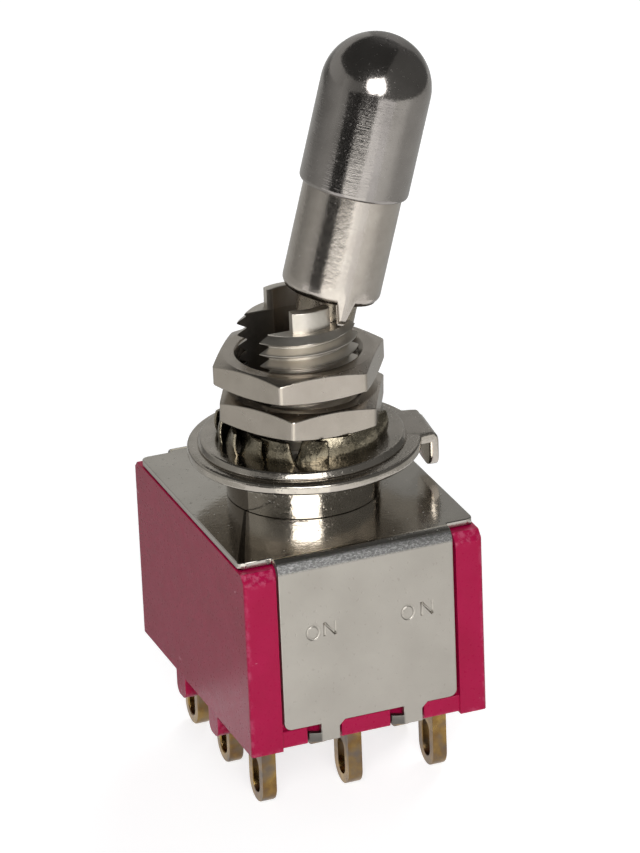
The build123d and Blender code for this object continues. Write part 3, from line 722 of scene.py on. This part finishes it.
def stamp_block(letters, height, width, half_width, depth, face):
    """Cutter with the strokes of letters, each given as (letter, x, z), on a face turned to the front."""
    work = bmesh.new()
    for letter, x, z in letters:
        for points, faces in letter_strokes(letter, x, z, height, width, half_width, depth):
            corners = [work.verts.new((p[0], p[1] + face, p[2])) for p in points]
            for each in faces:
                work.faces.new([corners[i] for i in each])
    bmesh.ops.recalc_face_normals(work, faces=work.faces)
    mesh = bpy.data.meshes.new("word")
    work.to_mesh(mesh)
    work.free()
    return new_object("word", mesh)


letter_places = np.array([(-2.84, -4.13), (-1.93, -4.07), (2.29, -4.07), (3.32, -4.03)]) * MM
letters = [(letter, x, z) for letter, (x, z) in zip("ONON", letter_places)]
letter_height, letter_width = 0.74 * MM, 0.58 * MM
stroke_half = stroke_depth = 0.07 * MM
words = stamp_block(letters, letter_height, letter_width, stroke_half, stroke_depth, low("frame")[1])
print("letters to stamp:", len(letters))

# %% [markdown]
# ## The folded frame
# On the real switch the plate covers the case's rounded top edges. The copy's end edges are moved out by less
# than a tenth of a millimetre, and the bend keeps its shape, before the edges are rounded and the words are
# stamped. The nine lugs need nothing but rounded edges.

# %% Frame and lugs
plate_flat, plate_rise, plate_reach = 5.8 * MM, 0.4 * MM, 0.08 * MM
plate_underside = -0.4 * MM


def plate_to_edge(points):
    """Slides the plate's ends outwards: |x| grows by plate_reach * share, which rises from plate_flat on."""
    share = np.clip((np.abs(points[:, 0]) - plate_flat) / plate_rise, 0, 1) * (points[:, 2] > plate_underside)
    points[:, 0] += np.sign(points[:, 0]) * share * plate_reach
    return points


wear(finer_copy("frame", 0.05, reshape=plate_to_edge, cutter=words), frame_steel)
for row in ("front", "middle", "rear"):
    for column in ("left", "centre", "right"):
        wear(finer_copy(f"terminal_{row}_{column}", 0.08), lug_gold)

# %% [markdown]
# ## Sleeve cap and locking sleeve
# Both are turned from brass bar. The cap is a plain domed cylinder, so its profile is a rounded edge and a
# quarter of a circle, with the bore on the way back. The sleeve under it is slimmer, and carries two teeth.

# %% Cap
cap_radius, cap_foot = 2.8 * MM, 12.42 * MM
dome_centre = 17.72 * MM
bore_radius, bore_end = 1.58 * MM, cap_foot + 4 * MM

dome_angle = np.linspace(0, math.pi / 2, 28)
dome = np.stack([cap_radius * np.cos(dome_angle), dome_centre + cap_radius * np.sin(dome_angle)], 1)
cap_edge = rounded(
    [(bore_radius, cap_foot), (cap_radius, cap_foot), (cap_radius, dome_centre)],
    [0, 0.28 * MM, 0],
    7,
)
cap_profile = np.vstack([cap_edge[:-1], dome, [(0.0, bore_end), (bore_radius, bore_end)]])
points, faces = turned(cap_profile, 220)
sleeve_cap = new_piece("cap", points, faces, "sleeve", ["sleeve_cap"], lever_place)
wear(sleeve_cap, cap_chrome)

# %% [markdown]
# ## The sleeve's two teeth
# A tooth is part of the sleeve's own wall, so the lower edge is a height that depends on the angle: level all
# round, and dipping along two tapered stretches at the front and the back. One column of the grid falls on each
# corner of a tooth, or its corners would be cut off.

# %% Locking sleeve
sleeve_radius, sleeve_foot = 2.53 * MM, 6.9 * MM
sleeve_head = cap_foot + 0.5 * MM
sleeve_turn = math.radians(-3)
corner_room = 0.012  # in radians: no even column stands nearer to a tooth's corner
tooth_depth, tooth_inner_radius = 1.03 * MM, 2.34 * MM
tooth_base_half, tooth_tip_half = 0.485 * MM, 0.17 * MM

base_half_angle = math.asin(tooth_base_half / sleeve_radius)
tip_half_angle = math.asin(tooth_tip_half / sleeve_radius)
tooth_angles = []
for middle in (-math.pi / 2, math.pi / 2):
    for corner in (-base_half_angle, -tip_half_angle, tip_half_angle, base_half_angle):
        tooth_angles.append(middle + corner)
even_angles = np.arange(200) / 200 * 2 * math.pi - math.pi
clear_of_corners = np.min(np.abs(even_angles[:, None] - np.array(tooth_angles)[None]), 1) > corner_room
angle = np.sort(np.concatenate([even_angles[clear_of_corners], tooth_angles]))
from_middle = np.abs(np.abs(angle) - math.pi / 2)
dip = tooth_depth * np.clip((base_half_angle - from_middle) / (base_half_angle - tip_half_angle), 0, 1)

rim_round = 0.42 * MM
# Each row is a radius, a height and the share of the dip that it follows.
rows = [
    (bore_radius, sleeve_head, 0),
    (bore_radius, sleeve_foot, 0),
    (tooth_inner_radius, sleeve_foot, 0),
    (tooth_inner_radius, sleeve_foot, 1),
]
for a in np.linspace(0, math.pi / 2, 6):
    rim_radius = sleeve_radius - rim_round + rim_round * math.sin(a)
    rows.append((rim_radius, sleeve_foot + rim_round - rim_round * math.cos(a), 1))
rows += [(sleeve_radius, sleeve_foot + 2.2 * rim_round, 0), (sleeve_radius, sleeve_head, 0)]
rows = np.array(rows)
points = carried_round(rows[:, :1], rows[:, 1:2] - rows[:, 2:3] * dip[None], angle + sleeve_turn)
faces = grid_faces(len(rows), len(angle), True, True)
locking_sleeve = new_piece("sleeve", points, faces, "sleeve", ["locking_sleeve"], lever_place)
wear(locking_sleeve, sleeve_chrome)

# %% [markdown]
# ## Threaded bushing
# A real thread is one ridge that climbs a pitch in every turn. Its surface is a radius that depends on angle
# and height. Rows of the grid climb with the thread, so crest and root stay sharp without a very fine mesh, and
# the ends run out into plain cylinders, where rows that pass the end are drawn together.

# %% Thread
thread_radius, root_radius = 3.1 * MM, 2.68 * MM
pitch = 0.635 * MM
thread_foot, thread_top = ring_bottom, 9.45 * MM
crest_phase = 0.236  # share of a pitch by which the crests are shifted, to meet the photograph
runout_slope = 1.1


def thread_profile(phase):
    """Share of the thread's depth at a phase of the pitch: narrow root, flank, small flat crest, flank."""
    return np.interp(phase % 1.0, [0, 0.04, 0.45, 0.55, 0.96, 1.0], [0, 0, 1, 1, 0, 0])


columns = 180
steps_per_turn = 20
column_angle = np.arange(columns + 1) / columns * 2 * math.pi
turns = (thread_top - thread_foot) / pitch
step = np.arange(-steps_per_turn, math.ceil(turns * steps_per_turn) + 1)[:, None] / steps_per_turn
climb = step + column_angle[None] / (2 * math.pi)
height = np.clip(thread_foot + climb * pitch, thread_foot, thread_top)
ridge = root_radius + (thread_radius - root_radius) * thread_profile(step + crest_phase + 0 * climb)
from_end = np.minimum(thread_top - height, height - thread_foot)
thread_points = carried_round(np.minimum(ridge, root_radius + from_end * runout_slope), height, column_angle)
thread_faces = grid_faces(len(step), columns + 1, False, False)
print("turns of thread:", round(turns, 2))

# %% [markdown]
# ## The rest of the bushing
# One profile runs from the thread's top over the ears' rim, down through the mouth and the bore, and back
# along the underside and the collar to the thread's foot. Carried round, it closes the solid with the thread.

# %% Bushing
mouth_radius, slot_floor = 1.7 * MM, 5.3 * MM
ear_radius = 2.26 * MM
bore, socket_radius = 2.05 * MM, 2.85 * MM
socket_top, underside = -0.5 * MM, 0.02 * MM
inside = rounded(
    [
        (root_radius, thread_top),
        (ear_radius + 0.02 * MM, thread_top),
        (ear_radius, ear_top),
        (mouth_radius, ear_top),
        (mouth_radius, slot_floor),
        (bore, slot_floor),
        (bore, socket_top),
        (socket_radius, socket_top),
        (socket_radius, underside),
        (collar_radius, underside),
        (collar_radius, thread_foot),
        (root_radius, thread_foot),
    ],
    np.array([0, 0, 0.05, 0.05, 0, 0, 0, 0, 0, 0.03, 0.1, 0]) * MM,
)
inner_points = carried_round(inside[:, :1], inside[:, 1:], column_angle)
inner_faces = grid_faces(len(inside), columns + 1, False, False) + len(thread_points)
bushing_piece = new_piece(
    "bushing_threaded",
    np.vstack([thread_points, inner_points]),
    np.vstack([thread_faces, inner_faces]),
    "base",
    ["bushing"],
)

# %% [markdown]
# ## Slot and ears
# A milling cutter takes the slot out of the turned blank and leaves two ears standing on the thread's end.
# Here a Boolean does the same with three boxes, which keeps the thread's crests crisp right up to the cut.

# %% Slot and ears
slot_half, ear_half = 1.57 * MM, 1.0 * MM
far = 8 * MM


def box_cutter(boxes):
    """Cutter made of boxes, each given by its low and high corner."""
    work = bmesh.new()
    for low_corner, high_corner in boxes:
        size = Vector(high_corner) - Vector(low_corner)
        middle = (Vector(high_corner) + Vector(low_corner)) / 2
        place = Matrix.Translation(middle) @ Matrix.Diagonal((*size, 1))
        bmesh.ops.create_cube(work, size=1, matrix=place)
    mesh = bpy.data.meshes.new("cutter")
    work.to_mesh(mesh)
    work.free()
    return new_object("cutter", mesh)


mill = box_cutter(
    [
        ((-far, -slot_half, slot_floor), (far, slot_half, far * 2)),
        ((ear_half, -far, thread_top), (far, far, far * 2)),
        ((-far, -far, thread_top), (-ear_half, far, far * 2)),
    ]
)
add_cut(bushing_piece, mill)
apply_modifiers(bushing_piece, crease_degrees)
bpy.data.objects.remove(mill)
wear(bushing_piece, bright_nickel)
print("bushing:", len(bushing_piece.data.polygons), "faces after the cuts")

# %% [markdown]
# ## Hex nuts
# A nut is a hexagon bar slice whose corners were turned off at a shallow angle on both faces, which leaves
# the curved edges under each corner. The outline is a rounded hexagon, and the chamfer's height at each point
# of it grows with the distance from the axis, so the curved edge comes by itself.

# %% Nuts
nut_flats, nut_corner_round = 7.94 * MM, 0.16 * MM
nut_bore, nut_sink = 3.06 * MM, 0.22 * MM
nut_face_radius, chamfer_slope, edge_half = 3.86 * MM, 0.31, 0.02 * MM


def hexagon(flats, corner_round, turn_degrees, per_side=10):
    """Rounded hexagon outline as x, y points, evenly dense along its sides."""
    corner_angles = np.radians(turn_degrees + 60 * np.arange(6))
    corners = flats / 2 / math.cos(math.pi / 6) * np.stack([np.cos(corner_angles), np.sin(corner_angles)], 1)
    outline = rounded(corners, corner_round, 6)
    dense = []
    for start, end in zip(outline, np.roll(outline, -1, 0)):
        pieces = per_side if np.linalg.norm(end - start) > flats / 6 else 1
        dense.append(start + (end - start) * np.arange(pieces)[:, None] / pieces)
    return np.vstack(dense)


def make_nut(name, node_name, turn_degrees, place=still):
    """Chamfered nut: rows run from the bore under the bottom, up the sides and back over the top.

    At a point of the outline the chamfer is chamfer_slope * (distance from the axis - nut_face_radius) high.
    """
    bottom, top = low(node_name)[2], high(node_name)[2]
    outline = hexagon(nut_flats, nut_corner_round, turn_degrees)
    reach = np.linalg.norm(outline, axis=1)
    direction = outline / reach[:, None]
    drop = (reach - nut_face_radius) * chamfer_slope + edge_half
    flat = np.full_like(reach, 1.0)
    rows = [
        (nut_bore * flat, (bottom + nut_sink) * flat),
        ((nut_bore + nut_sink) * flat, bottom * flat),
        (nut_face_radius * flat, bottom * flat),
        (reach - edge_half, bottom + drop - edge_half),
        (reach, bottom + drop + edge_half),
        (reach, top - drop - edge_half),
        (reach - edge_half, top - drop + edge_half),
        (nut_face_radius * flat, top * flat),
        ((nut_bore + nut_sink) * flat, top * flat),
        (nut_bore * flat, (top - nut_sink) * flat),
    ]
    points = np.vstack([np.column_stack([direction * radius[:, None], level]) for radius, level in rows])
    faces = grid_faces(len(rows), len(outline), True, True)
    piece = new_piece(name, points, faces, "base", [node_name], place, sharp=14.0)
    return wear(piece, nut_nickel)


nut_middle = Vector((0, 0, (low("lower_hex_nut")[2] + high("lower_hex_nut")[2]) / 2))
nut_lean, nut_play = math.radians(2.0), Vector((0.1 * MM, 0, 0))  # a loose nut hangs a little off its thread
askew = Matrix.Rotation(nut_lean, 4, "Y")
askew = Matrix.Translation(nut_middle + nut_play) @ askew @ Matrix.Translation(-nut_middle)
make_nut("nut_lower", "lower_hex_nut", 3.2, askew)
make_nut("nut_upper", "upper_hex_nut", -2.9)

# %% [markdown]
# ## Locking ring
# The ring is stamped from flat steel, so its rim is tumbled round. Where its one lug leaves it, the rim runs
# out in two smooth necks. The rim is therefore a radius that depends on the angle, and the ring needs no
# Boolean.

# %% Locking ring
ring_radius, ring_bore, ring_shift = 5.99 * MM, 3.24 * MM, 0.1 * MM
ring_place = Matrix.Rotation(math.radians(-6.3), 4, "Z")
lug_reach, lug_half, lug_neck = 6.86 * MM, 1.35 * MM, 0.4 * MM
half_sheet = 0.25 * MM

around = np.linspace(-math.pi, math.pi, 321)[:-1]
across_lug = np.abs(np.sin(around)) * ring_radius
neck = np.clip((lug_half + lug_neck - across_lug) / lug_neck, 0, 1)
neck = np.where(np.cos(around) > 0, neck * neck * (3 - 2 * neck), 0)
lug_root = lug_reach - half_sheet - ring_shift
rim_reach = ring_radius + neck * np.maximum(lug_root / np.maximum(np.cos(around), 0.5) - ring_radius, 0)
section = rounded(
    [(1, 0), (0, 0), (0, ring_thickness), (1, ring_thickness)],
    np.array([0, 0.14, 0.22, 0]) * MM,
    7,
)[1:-1]
reach = rim_reach[None] - section[:, :1]
reach = np.vstack([np.full_like(around, ring_bore)[None], reach, np.full_like(around, ring_bore)[None]])
level = ring_bottom + np.concatenate([[0.0], section[:, 1], [ring_thickness]])
points = carried_round(reach, level[:, None], around)
points[:, 0] += ring_shift
faces = grid_faces(len(level), len(around), True, True)
ring_piece = new_piece("ring_keyed", points, faces, "base", ["locking_ring"], ring_place)
wear(ring_piece, washer_nickel)

# %% [markdown]
# ## The bent lug
# The lug is the ring's own strip bent down over a die. It is a rounded rectangle carried along a bent path,
# with a half width for each point of the path, so that its foot can taper to a round end.

# %% Bent lug
def strip_along(path, half_widths, half_thickness, edge):
    """Closed strip: a rounded rectangle carried along a path in the XZ plane, one half width for each point.

    Each row is the rectangle turned to the path: point = path + normal * thickness + Y * width.
    """
    path = np.asarray(path, float)
    along = np.gradient(path, axis=0)
    along /= np.linalg.norm(along, axis=1)[:, None]
    normal = np.stack([-along[:, 1], along[:, 0]], 1)
    rings = []
    for here, out, half_width in zip(path, normal, half_widths):
        box = [(-half_width, -half_thickness), (half_width, -half_thickness)]
        box += [(half_width, half_thickness), (-half_width, half_thickness)]
        wide, thick = rounded(box, edge, 4).T
        rings.append(np.column_stack([here[0] + out[0] * thick, wide, here[1] + out[1] * thick]))
    return closed_tube(np.array(rings))


tab_foot = low("locking_ring")[2]
middle_height = ring_bottom + ring_thickness / 2
bend_radius = 0.34 * MM
tab_x = lug_reach - half_sheet
bend_x, bend_height = tab_x - bend_radius, middle_height - bend_radius
tip_length, tip_drop = 0.75 * MM, 0.745 * MM
foot_start = tab_foot + tip_length
path = [(5.2 * MM, middle_height), (5.9 * MM, middle_height)]
for a in np.linspace(math.pi / 2, 0, 8):
    path.append((bend_x + bend_radius * math.cos(a), bend_height + bend_radius * math.sin(a)))
path.append((tab_x, foot_start))
half_widths = [lug_half] * len(path)
for a in np.linspace(0, 1, 9)[1:] * math.pi / 2:
    path.append((tab_x, foot_start - tip_drop * math.sin(a)))
    half_widths.append(lug_half - tip_length * (1 - math.cos(a)))
points, faces = strip_along(path, half_widths, half_sheet, 0.12 * MM)
faces = np.array(faces, dtype=object)
tab_piece = new_piece("ring_tab", points, faces, "base", place=ring_place)
wear(tab_piece, washer_nickel)

# %% [markdown]
# ## Lock washer's band
# The washer is a thin stamped band. Its outer lip slants inwards at the top, because the sheet was drawn down
# by the punch, and a slanting lip catches the light apart from the flat below it.

# %% Washer band
washer_thickness = 0.38 * MM
washer_top = washer_bottom + washer_thickness
band_radius = 3.95 * MM
lip_height, lip_slant = 0.1 * MM, 0.15 * MM
profile = rounded(
    [
        (band_radius, washer_bottom),
        (washer_radius, washer_bottom),
        (washer_radius, washer_bottom + lip_height),
        (washer_radius - lip_slant, washer_top),
        (band_radius, washer_top),
    ],
    np.array([0.05, 0.05, 0.05, 0.09, 0.1]) * MM,
    7,
)
points, faces = turned(profile, 220)
washer_piece = new_piece("washer_band", points, faces, "base", ["lock_washer"])
wear(washer_piece, washer_nickel)

# %% [markdown]
# ## Lock washer's teeth
# The teeth are short blades that stand up from the band, each twisted until its edge bites the nut. One blade
# is a grid whose section, a squarish ellipse, turns and narrows on its way up. A loop sets sixteen of them
# round the circle, a little unlike each other, as sheared steel is.

# %% Washer teeth
tooth_count, first_tooth = 16, 0.35
blade_root, blade_lean, blade_bulge, blade_half_depth = 4.14 * MM, 0.2 * MM, 0.1 * MM, 0.1 * MM
blade_foot = washer_top - 0.1 * MM
blade_height = low("lower_hex_nut")[2] - washer_top + 0.11 * MM
up = np.array([0, 0, 1.0])


def swelled(wave, power):
    """Sine or cosine raised to a power that keeps its sign: below 1 it makes an ellipse squarer."""
    return np.sign(wave) * np.abs(wave) ** power


def blade(number):
    """Rings of one blade's points, for shares v of its height.

    The section (wide, deep) is turned by 8 + (16 + 10u) * v degrees and is 0.9 - (0.12 + 0.08u) * v mm wide on
    each side, where u is the blade's own unevenness. It leans in by blade_lean * v and bulges out half way.
    """
    around = np.linspace(0, 2 * math.pi, 25)[:-1]
    v = np.linspace(0, 1, 9)[:, None]
    unevenness = math.sin(2.4 * number)
    twist = np.radians(8 + (16 + 10 * unevenness) * v)
    wide = swelled(np.cos(around), 0.6) * ((0.9 - (0.12 + 0.08 * unevenness) * v) * MM)
    deep = swelled(np.sin(around), 0.45) * blade_half_depth
    slant = 0.3 * unevenness * MM * v
    sideways = slant + wide * np.cos(twist) - deep * np.sin(twist)
    radius = blade_root + blade_bulge * np.sin(math.pi * v) - blade_lean * v + deep * np.cos(twist)
    radius = radius + wide * np.sin(twist) - sideways**2 / (2 * blade_root)
    height = blade_foot + blade_height * v + 0 * wide
    spin = 2 * math.pi * (number + first_tooth) / tooth_count
    radial = np.array([math.cos(spin), math.sin(spin), 0.0])
    tangent = np.array([-math.sin(spin), math.cos(spin), 0.0])
    return radius[..., None] * radial + sideways[..., None] * tangent + height[..., None] * up


all_points, all_faces = [], []
for number in range(tooth_count):
    points, faces = closed_tube(blade(number), sum(map(len, all_points)))
    all_points.append(points)
    all_faces += faces
all_faces = np.array(all_faces, dtype=object)
teeth = new_piece("washer_teeth", np.vstack(all_points), all_faces, "base")
wear(teeth, shaded_blade_nickel)

# %% [markdown]
# ## Lever stem and the pieces inside
# The stem shows in the bushing's mouth, so it keeps its CAD shape with a turned finish. Everything sealed
# inside keeps its CAD shape too, each with the finish of its own metal or plastic.

# %% Finishes of the carried-over nodes
node_finish = {
    "lever": stem_steel,
    "pivot_pin": stem_steel,
    "stem_washer": washer_nickel,
    "plunger_holder": holder_nylon,
    "terminal_seal": seal_resin,
    "sleeve_spring": spring_steel,
}
for row in ("front", "middle", "rear"):
    node_finish[f"plunger_{row}"] = contact_silver
    node_finish[f"plunger_spring_{row}"] = spring_steel
    node_finish[f"rocker_contact_{row}"] = contact_silver
for name, material in node_finish.items():
    wear(frame["nodes"][name], material)
print("carried-over nodes dressed:", len(node_finish))

# %% [markdown]
# ## Floor and background
# The switch stands on a plain white floor under soft light. Floor and world are white to the camera and to
# mirror rays, and weaker to everything else, so they fill the shadows without washing them out. More lamps
# would whiten the background too, but would bleach the switch with it.

# %% Floor and world
def white_to_sight(add):
    """1 for rays that see or mirror a surface, and 0 for rays that light one."""
    rays = add("LightPath", out="all")
    seen = add("Math MAXIMUM", rays["Is Camera Ray"], rays["Is Glossy Ray"])
    return add("Math MAXIMUM", seen, rays["Is Transmission Ray"])


def level_corners(low_x, high_x, low_y, high_y, height):
    """Corners of a level rectangle."""
    sides = [(low_x, low_y), (high_x, low_y), (high_x, high_y), (low_x, high_y)]
    return [(*side, height) for side in sides]


floor_half, floor_glow, fill_level = 0.6, 0.74, 0.14
floor_mesh = bpy.data.meshes.new("floor")
floor_corners = level_corners(-floor_half, floor_half, -floor_half, floor_half, lug_tip)
floor_mesh.from_pydata(floor_corners, [], [(0, 1, 2, 3)])
floor = new_object("floor", floor_mesh)
paper, add, shader = new_material("white seamless paper")
feed(shader, {"Base Color": (0.5, 0.5, 0.5, 1), "Roughness": 0.9, "Specular IOR Level": 0.0})
glow = add("Math MULTIPLY", white_to_sight(add), floor_glow)
feed(shader, {"Emission Color": (1, 1, 1, 1), "Emission Strength": glow})
floor_mesh.materials.append(paper)

world = bpy.data.worlds.new("studio")
bpy.context.scene.world = world
world.use_nodes = True
add = partial(node, world.node_tree)
strength = add("MapRange", white_to_sight(add), 0, 1, fill_level, 1.0)
feed(world.node_tree.nodes["Background"], {"Color": (1, 1, 1, 1), "Strength": strength})
print("floor and world made")

# %% [markdown]
# ## Lamps
# The main light stands just above and behind the camera, and a weaker one fills the rear. Both are broad discs,
# because a small lamp would throw hard shadows between the lugs.

# %% Lamps
aim = Vector((0, 0, 0.004))


def soft_light(name, place, size, watts):
    """Round area lamp, as a beauty dish is, that looks at the switch along its own -Z."""
    data = bpy.data.lights.new(name, "AREA")
    data.shape = "DISK"
    data.size = size
    data.energy = watts
    lamp = new_object(name, data)
    lamp.location = place
    lamp.rotation_mode = "QUATERNION"
    lamp.rotation_quaternion = (aim - Vector(place)).to_track_quat("-Z", "Y")


soft_light("key", (-0.082, -0.262, 0.132), 0.22, 0.8)
soft_light("rear_fill", (0.20, 0.24, 0.20), 0.2, 0.6)
print("lamps made:", len(bpy.data.lights))

# %% [markdown]
# ## Cards for the mirrors
# Polished metal shows what stands round it, so a studio hangs dark and grey cards out of view. Here only
# mirror rays see them, so they change no shadow and no background. A card's glow is written on its corners as
# an attribute and runs evenly between them, which gives plating its soft gradients.

# %% Mirror cards
card_board, add, shader = new_material("glowing grey board")
glow = add("Attribute", out="Fac", attribute_name="glow")
feed(shader, {"Base Color": (0, 0, 0, 1), "Specular IOR Level": 0.0})
feed(shader, {"Emission Color": (1, 1, 0.97, 1), "Emission Strength": glow})


def mirror_card(name, corners, levels):
    """Four-cornered card that only mirror rays see. Its glow runs evenly between the levels of its corners."""
    mesh = bpy.data.meshes.new(name)
    mesh.from_pydata(corners, [], [(0, 1, 2, 3)])
    corner_glow = mesh.attributes.new("glow", "FLOAT", "POINT")
    corner_glow.data.foreach_set("value", np.zeros(4, np.float32) + np.asarray(levels, np.float32))
    mesh.materials.append(card_board)
    card = new_object(name, mesh)
    for rays in ("camera", "diffuse", "shadow", "transmission", "volume_scatter"):
        setattr(card, "visible_" + rays, False)


def spots_at(distance, bearings, heights):
    """Two points at a distance, with bearings counted in degrees from the front towards the left."""
    turns = [math.radians(bearing) for bearing in bearings]
    return [(-distance * math.sin(a), -distance * math.cos(a), height) for a, height in zip(turns, heights)]


def card_between(name, start, end, levels):
    """Card from two start points to two end points, with a level for the first and the second of each pair."""
    mirror_card(name, [*start, *end[::-1]], [*levels, *levels[::-1]])


print("card helpers ready")

# %% [markdown]
# ## Where the cards stand
# Grey walls of different levels stand all round, two darker boards stand close to the front with a bright strip
# along their foot, and low strips lie on the floor, where the undersides of nuts and washers look. Levels were
# matched to the tones in the photograph.

# %% Cards round the switch
mirror_card("ceiling", level_corners(-0.6, 0.6, -0.45, 0.6, 0.20), 0.07)
# name, distance, bearings, foot, head or heads, level at each bearing
for name, distance, bearings, foot, head, levels in [
    ("behind_left", 0.30, (150, 200), lug_tip, 0.06, (0.14, 0.5)),
    ("behind_left_high", 0.30, (150, 200), 0.06, 0.2, (0.5, 0.5)),
    ("behind_right", 0.30, (200, 240), lug_tip, 0.2, (0.28, 0.28)),
    ("left_rear", 0.30, (95, 150), lug_tip, 0.06, (0.5, 0.18)),
    ("left_rear_high", 0.30, (95, 150), 0.06, 0.2, (0.4, 0.5)),
    ("left_edge", 0.30, (75, 95), lug_tip, 0.2, (0.3, 0.5)),
    ("left_wall", 0.34, (47, 75), lug_tip, 0.2, (0.2, 0.3)),
    ("front_wall", 0.36, (-5, 47), lug_tip, 0.2, (0.2, 0.2)),
    ("right_wall", 0.24, (-120, -2), lug_tip, 0.2, (0.12, 0.2)),
    ("left_dark", 0.12, (47, 76), lug_tip, 0.035, (0.03, 0.05)),
    ("front_dark", 0.12, (14, 47), -0.012, 0.035, (0.08, 0.08)),
    ("front_bright", 0.1195, (6, 47), lug_tip, (-0.011, 0.004), (2.4, 2.4)),
]:
    heads = np.broadcast_to(head, 2)
    card_between(name, spots_at(distance, bearings, (foot, foot)), spots_at(distance, bearings, heads), levels)

# name, near and far distance, bearings, level at each bearing
for name, near, distant, bearings, levels in [
    ("pool_of_light", 0.03, 0.1, (-2, 47), (1.9, 1.9)),
    ("floor_right", 0.045, 0.2, (-20, -60), (1.06, 0.6)),
    ("floor_right_rear", 0.045, 0.2, (-60, -150), (0.6, 0.34)),
    ("floor_left", 0.03, 0.09, (80, 130), (0.66, 0.66)),
]:
    heights = [lug_tip + 0.2 * MM] * 2
    card_between(name, spots_at(near, bearings, heights), spots_at(distant, bearings, heights), levels)
mirror_card("floor_behind", level_corners(-0.3, 0.3, 0.008, 0.28, lug_tip + 0.1 * MM), 0.5)
print("cards hung")

# %% [markdown]
# ## View transform
# The render shows colours through the Standard view transform.

# %% View transform
scene = bpy.context.scene
scene.view_settings.view_transform = "Standard"
